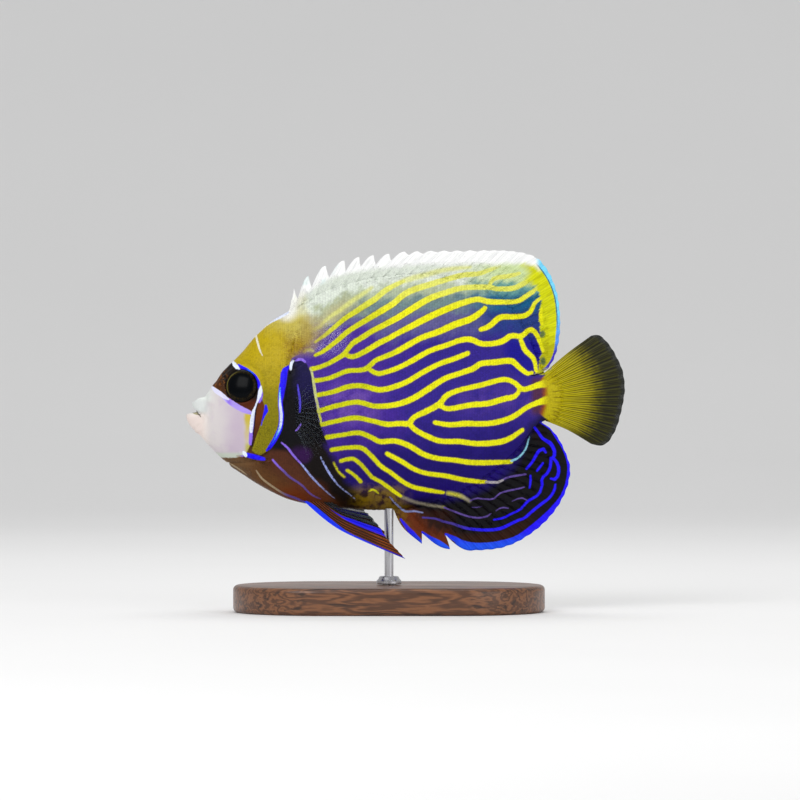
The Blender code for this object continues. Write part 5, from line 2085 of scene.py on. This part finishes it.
@dataclass
class MiddleFins:
    """The dorsal, anal and tail fins."""

    finish: bpy.types.Material
    tail_finish: bpy.types.Material
    shelves: tuple[float, ...] = (0.02, 0.36, 0.7)  # where each fin's scales lie on the texture map
    map_span: float = 320  # pixels from side to side of that map
    built: list[tuple[Fin, bpy.types.Mesh]] = field(default_factory=list)

    def dorsal(self) -> None:
        """The dorsal fin: fourteen spines with a notched web, then twenty soft rays."""
        roots = along(DORSAL_SPINE_ROOTS, len(DORSAL_TIPS))
        front = spiny_margin(roots, DORSAL_TIPS, DORSAL_NOTCHES, 14)
        rear = ((DORSAL_SPINE_ROOTS[-1], *DORSAL_SOFT_ROOTS), (DORSAL_TIPS[-1], *DORSAL_SOFT_MARGIN))
        self.join("dorsal_fin", "pale_fin", front, rear, (0.025, 0.025))

    def anal(self) -> None:
        """The anal fin: three spines, then twenty soft rays."""
        front = spiny_margin(np.array(ANAL_SPINE_ROOTS, float), ANAL_SPINE_TIPS, ANAL_NOTCHES, 22)
        rear = ((ANAL_SPINE_ROOTS[-1], *ANAL_SOFT_ROOTS), (ANAL_SPINE_TIPS[-1], *ANAL_SOFT_MARGIN))
        self.join("anal_fin", "dark_fin", front, rear, (0.1, -0.03))

    def join(
        self, name: str, slot: str, front: Outline, rear: Sequence[Sequence[Point]], bow: Point
    ) -> None:
        """Joins a spiny and a soft part in one sheet and builds it.

        Args:
            name: the piece's name, which its two nodes' names start with.
            slot: a material slot's name, which the fin keeps but nothing uses.
            front: the spiny part's outline.
            rear: the soft part's roots and margin.
            bow: how far the first spine and the rays from the second on are bowed.
        """
        roots, tips, rays = soft_margin(*rear, SOFT_RAYS, 12, 0.7)
        soft = (roots, tips, rays + front[2][-1])
        roots, tips, rays = (np.concatenate((line[:-1], rest)) for line, rest in zip(front, soft))
        columns = flat_columns(roots, tips, np.interp(rays, (0, 1.5), bow))
        fin = Fin(name, slot, (f"{name}_spiny", f"{name}_soft"), *columns, rays, steps=48)
        self.keep(fin, self.finish, True)

    def tail(self) -> None:
        """The fan of the tail fin."""
        roots, tips, rays = soft_margin(TAIL_ROOTS, TAIL_MARGIN, TAIL_RAYS, 20, 0.5)
        bows = np.interp(rays, (0, 5, 10, TAIL_RAYS - 1), (-0.02, 0, 0, -0.036))
        fan = Fin(
            "tail_fin_fan", "tail_fin", ("tail_fin",), *flat_columns(roots, tips, bows), rays,
            thick=(0.0032, 0.0006), splits=(0.3, 0.6), steps=52, slim=0.6, scaled=(1.7, 0.22),
        )
        self.keep(fan, self.tail_finish, False)

    def keep(self, fin: Fin, finish: bpy.types.Material, painted: bool) -> None:
        """Builds a fin and keeps it for its scales."""
        self.built.append((fin, fin.build(finish, painted)))

    def scales(self, coat: ScaleCoat, finish: bpy.types.Material) -> None:
        """Small scales on the inner part of the fins, growing smaller outwards.

        Args:
            coat: the body's scales, which these are made like.
            finish: their material.
        """
        for flank, word in SIDES:
            held = [
                self.scale_roots(fin, search_tree(mesh), flank, shelf)
                for shelf, (fin, mesh) in zip(self.shelves, self.built)
            ]
            rows = [np.concatenate(parts) for parts in zip(*held)]
            coat.spread(f"fin_scales_{word}", finish, rows)

    def scale_roots(self, fin: Fin, tree: BVHTree, flank: int, shelf: float) -> list[Array]:
        """Where the scales of one side of a fin root.

        Args:
            fin: the fin.
            tree: its surface.
            flank: -1 for the left side and 1 for the right.
            shelf: where its part of the texture map starts.

        Returns:
            Places, normals, directions towards the free edges, spacings, and places on the texture map.
        """
        columns = [to_picture(line) for line in (fin.roots, fin.middles, fin.tips)]
        length = float(np.median(np.linalg.norm(columns[2] - columns[0], axis=1)))
        columns = [line[::2] for line in columns]
        spacing, last = fin.scaled
        found = []
        share, row = 0.06, 0
        while share < last:
            line, ahead = bowed(*columns, share), bowed(*columns, share + 0.04)
            gap = spacing - 1.3 * share / 0.66
            reach = lengths(line)
            for spot in np.arange(gap * (0.5 + 0.5 * (row % 2)), reach[-1], gap):
                px, py, ax, ay = (
                    float(np.interp(spot, reach, numbers)) for numbers in (*line.T, *ahead.T)
                )
                hit, normal = touch(tree, (px, py), flank, 0.02)
                if hit is None or abs(normal.y) < 0.6:
                    continue
                outward = normal if normal.y * flank > 0 else -normal
                lie = Vector((ax - px, 0, py - ay)).normalized()
                flat = (0.02 + spot / self.map_span, shelf + share * length / self.map_span)
                found.append((hit, outward, lie, gap, flat))
            share += gap * 0.95 / length
            row += 1
        return [np.array(parts, float) for parts in zip(*found)]


@dataclass
class PairedFins:
    """The pectoral and pelvic fins."""

    body: Body
    clear_finish: bpy.types.Material
    pelvic_finish: bpy.types.Material
    fine: int = 10  # columns from one ray to the next

    def flank(self) -> BVHTree:
        """The surface that these fins and the eyes are set on.

        Returns:
            A search tree of the plain body.
        """
        mesh, _ = ball_mesh("flank", 64, 120, self.body.loft)
        tree = search_tree(mesh)
        bpy.data.meshes.remove(mesh)
        return tree

    def pectoral(self, word: str, side: int, tree: BVHTree) -> None:
        """A breast fin, swung out from the flank.

        Args:
            word: left or right.
            side: -1 or 1.
            tree: the body's surface.
        """
        start, end = np.array(PECTORAL_BASE_PX)
        out = math.radians(PECTORAL_SPREAD)
        count = (PECTORAL_RAYS - 1) * self.fine + 1
        reaches = blend(np.array(PECTORAL_LENGTHS)[:, None], np.linspace(0, 1, count))[:, 0]
        columns = []
        for i, reach in enumerate(reaches):
            share = i / (count - 1)
            root, _ = touch(tree, start + (end - start) * share, side)
            slope = math.radians(PECTORAL_FAN[0] + (PECTORAL_FAN[1] - PECTORAL_FAN[0]) * share)
            reach *= 1 - 0.02 * math.sin(i / self.fine * math.pi) ** 2
            level, rise = math.cos(slope), math.sin(slope)
            lie = Vector((level * math.cos(out), side * level * math.sin(out), rise))
            cup = Vector((-math.sin(out), side * math.cos(out), 0)) * reach * PECTORAL_CUP
            columns.append((root - lie * PECTORAL_SUNK, root + lie * reach / 2, root + lie * reach + cup))
        lines = np.array(columns, float).swapaxes(0, 1)
        fin = Fin(
            f"pectoral_{word}", "clear_fin", (f"pectoral_fin_{word}",), *lines, np.arange(count) / self.fine,
            thick=(0.0009, 0.0003), web=0.3, least=0.00012, splits=(0.6, 2.0), steps=40,
        )
        fin.build(self.clear_finish)

    def pelvic(self, word: str, side: int) -> None:
        """A belly fin folded back under the fish.

        Args:
            word: left or right.
            side: -1 or 1.
        """
        outwards, lifted = PELVIC_SPREAD[word]
        start, end = np.array(PELVIC_ROOT_PX, float)
        hinge_x, hinge_z = on_side(*start)
        hinge = Vector((hinge_x, 0, hinge_z))
        swing = Matrix.Rotation(math.radians(side * outwards), 3, "Z")
        lift = Matrix.Rotation(math.radians(-lifted), 3, "Y")
        count = (PELVIC_RAYS - 1) * self.fine + 1
        share = np.linspace(0, 1, count)
        rays = np.arange(count) / self.fine
        starts = start + (end - start) * share[:, None]
        ends = blend(np.array(PELVIC_TIPS_PX), share)
        ends = drawn_in(starts, ends, np.sin(rays * math.pi) ** 2 * PELVIC_SCALLOP)
        bow = PELVIC_BOW + PELVIC_LEAD_BOW * (1 - share) ** 2
        placed = []
        for k, line in enumerate(flat_columns(starts, ends, bow, 0.4)):
            moved = []
            for point, across in zip(line, share):
                slant = Vector((0, side * PELVIC_SLANT * across * k / 2, 0))
                turned = hinge + swing @ lift @ (Vector(point) - hinge + slant)
                moved.append(turned + Vector((0, side * PELVIC_ROOT_Y, 0)))
            placed.append(np.array(moved))
        fin = Fin(
            f"pelvic_{word}", "dark_fin", (f"pelvic_fin_{word}",), *placed, rays,
            thick=(0.0014, 0.0004), web=0.3, least=0.00016, splits=(0.4, 0.7), steps=48,
        )
        fin.build(self.pelvic_finish)


@dataclass
class Eye:
    """An eye set square to the skin."""

    finish: bpy.types.Material

    def build(self, word: str, side: int, tree: BVHTree) -> None:
        """The eyeball, with each point's distance from its axis stored on it.

        Args:
            word: left or right.
            side: -1 or 1.
            tree: the body's surface.
        """
        forwards, upwards = (math.radians(angle) for angle in EYE_TURN)
        level = math.cos(upwards)
        out = Vector((-math.sin(forwards) * level, side * math.cos(forwards) * level, math.sin(upwards)))
        turn = Vector((0, side, 0)).rotation_difference(out).to_matrix()
        skin, _ = touch(tree, EYE_PX, side)
        bm = bmesh.new()
        bmesh.ops.create_uvsphere(bm, u_segments=96, v_segments=48, radius=1)
        bmesh.ops.rotate(bm, verts=bm.verts, matrix=Matrix.Rotation(math.pi / 2, 3, "X"))
        bmesh.ops.scale(bm, verts=bm.verts, vec=(EYE_RADIUS, EYE_HALF_DEPTH, EYE_RADIUS))
        face_out(bm)
        mesh = to_mesh(f"eyeball_{word}", bm)
        ball = read_points(mesh)
        store(mesh, "out", np.hypot(ball[:, 0], ball[:, 2]) / PIXEL)
        store(mesh, "turn", np.sin(np.arctan2(ball[:, 2], -ball[:, 0]) + 1.2))
        write_points(mesh, ball @ np.array(turn).T + np.array(skin - out * EYE_SUNK))
        add_piece(f"eyeball_{word}", mesh, self.finish, (f"eye_{word}",))


@dataclass
class Stand:
    """The display stand: a rounded wooden base, a steel rod and a collar."""

    wood: bpy.types.Material
    steel: bpy.types.Material
    edge: float = 0.0016
    sharp: float = 35  # degrees past which an edge stays sharp

    def base(self, rod_x: float) -> None:
        """A long round-ended base with an eased edge.

        Args:
            rod_x: where the rod stands.
        """
        length, width, height = BASE_SIZE
        end = width / 2
        bm = bmesh.new()
        bmesh.ops.create_cone(bm, cap_ends=True, segments=160, radius1=end, radius2=end, depth=height)
        for vert in bm.verts:
            vert.co.x += math.copysign((length - width) / 2, vert.co.x) if abs(vert.co.x) > 1e-6 else 0
        rims = [e for e in bm.edges if abs(e.verts[0].co.z - e.verts[1].co.z) < 1e-9]
        bmesh.ops.bevel(
            bm, geom=rims, offset=self.edge, offset_type="OFFSET", affect="EDGES", segments=6, profile=0.5,
            material=-1,
        )
        bmesh.ops.translate(bm, verts=bm.verts, vec=(rod_x, 0, height / 2))
        mesh = to_mesh("wooden_base", bm, self.sharp)
        add_piece("wooden_base", mesh, self.wood, ("stand_base",))

    def turned(self, name: str, outline: list[Point], rod_x: float, node: str) -> None:
        """A piece turned about the rod's axis.

        Args:
            name: the piece's name.
            outline: its radii and heights.
            rod_x: where the rod stands.
            node: the node it stands for.
        """
        bm = bmesh.new()
        corners = [bm.verts.new((r, 0, z)) for r, z in outline]
        edges = [bm.edges.new(pair) for pair in zip(corners, corners[1:])]
        bmesh.ops.spin(
            bm, geom=corners + edges, cent=(0, 0, 0), axis=(0, 0, 1), angle=2 * math.pi, steps=64,
            use_merge=True,
        )
        bmesh.ops.remove_doubles(bm, verts=bm.verts, dist=1e-7)
        face_out(bm)
        bmesh.ops.translate(bm, verts=bm.verts, vec=(rod_x, 0, 0))
        add_piece(name, to_mesh(name, bm, self.sharp), self.steel, (node,))

    def build(self) -> None:
        """Base, rod and collar."""
        rod_x, _ = on_side(*ROD_TOP_PX)
        low, r, c = BASE_SIZE[2] + GAP, ROD_RADIUS, COLLAR_RADIUS
        top = float(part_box("stand_rod")[1][2])
        self.base(rod_x)
        self.turned("steel_rod", [(0, low), (r, low), (r, top), (0, top)], rod_x, "stand_rod")
        high, bore, lip = low + COLLAR_HEIGHT, r + GAP, 0.0003
        ring = [
            (bore, low), (c - lip, low), (c, low + lip), (c, low + 0.0010), (c - 0.0007, low + 0.0018),
            (c - 0.0009, high - lip), (c - 0.0012, high), (bore + lip, high), (bore, high - lip),
            (bore, low),
        ]
        self.turned("steel_collar", ring, rod_x, "stand_collar")


@dataclass
class Studio:
    """Pale sweep, soft lights and the camera of the picture."""

    distance: float = 2.6
    elevation: float = 1.2
    sensor: float = 36.0
    front: float = -3.4  # where the floor starts
    depth: float = 5.6
    half_width: float = 4.0
    wall: float = 0.9  # where the floor starts to curve up
    curve: float = 0.8
    aim: Vector = field(default_factory=lambda: Vector((0, 0, 0.065)))

    def sweep(self) -> None:
        """A pale floor that curves up behind the stand into a wall."""
        quarter, arc = 1.5708, 1.2566  # a quarter turn, and its length on the curve
        bm = bmesh.new()
        bmesh.ops.create_grid(bm, x_segments=1, y_segments=40, size=1)
        for vert in bm.verts:
            y = self.front + self.depth * (vert.co.y + 1) / 2
            bend = max(0.0, y - self.wall)
            turn = min(bend / self.curve, quarter)
            rise = self.curve * (1 - math.cos(turn)) + max(0.0, bend - arc) * 6
            vert.co = (vert.co.x * self.half_width, min(y, self.wall) + self.curve * math.sin(turn), rise)
        mesh = to_mesh("sweep", bm)
        s = Shade("studio_paper", roughness=0.9)
        mesh.materials.append(s.dress(base_color=s.mix((0.80,) * 3, (0.83,) * 3, s.noise(6, 2))))
        new_object("sweep", mesh)

    def light(self, name: str, place: Sequence[float], power: float, size: float) -> None:
        """A soft square light aimed at the fish.

        Args:
            name: its name.
            place: where it hangs.
            power: its power in watts.
            size: the length of its sides.
        """
        lamp = bpy.data.lights.new(name, "AREA")
        lamp.energy, lamp.size = power, size
        made = new_object(name, lamp)
        made.location = place
        made.rotation_euler = (self.aim - Vector(place)).to_track_quat("-Z", "Y").to_euler()

    def build(self) -> None:
        """Sweep, lights, world and camera."""
        scene = bpy.context.scene
        self.sweep()
        self.light("key", (-0.50, -0.95, 0.75), 6.6, 0.7)
        self.light("fill", (0.75, -0.80, 0.35), 2.6, 0.8)
        self.light("top", (0.05, 0.25, 0.95), 4.0, 0.7)
        scene.world = bpy.data.worlds.new("studio")
        scene.world.use_nodes = True
        sky = scene.world.node_tree.nodes["Background"].inputs
        sky["Color"].default_value = (1, 1, 1, 1)
        sky["Strength"].default_value = 0.55
        scene.view_settings.view_transform = "Standard"
        x, z = on_side(PICTURE_PX / 2, PICTURE_PX / 2)
        up = math.radians(self.elevation)
        camera = bpy.data.cameras.new("camera")
        camera.sensor_width = self.sensor
        camera.lens = self.sensor * self.distance / (PICTURE_PX * PIXEL)
        camera.clip_start, camera.clip_end = 0.05, 20
        scene.camera = new_object("camera", camera)
        scene.camera.location = (x, -self.distance * math.cos(up), z + self.distance * math.sin(up))
        scene.camera.rotation_euler = (math.pi / 2 - up, 0, 0)


def main() -> None:
    """Builds the fish, its coat and its stand."""
    Studio().build()
    skin = CoatPaint().make("painted_skin", Surface.SKIN)
    scales = CoatPaint().make("painted_scales", Surface.SCALES)
    web = CoatPaint().make("painted_fins", Surface.FIN)
    body = Body()
    body.build(skin)
    coat = ScaleCoat(body)
    coat.build(scales)
    middle = MiddleFins(web, TailPaint().make("tail_fin_paint"))
    middle.dorsal()
    middle.anal()
    middle.tail()
    middle.scales(coat, scales)
    clear, pelvic = ClearFinPaint().make("clear_fin_paint"), PelvicPaint().make("pelvic_fin_paint")
    paired = PairedFins(body, clear, pelvic)
    flank = paired.flank()
    eye = Eye(EyePaint().make("eye_paint"))
    for side, word in SIDES:
        paired.pectoral(word, side, flank)
        paired.pelvic(word, side)
        eye.build(word, side, flank)
    Stand(WoodPaint().make("walnut"), SteelPaint().make("brushed_steel")).build()


if __name__ == "__main__":
    main()
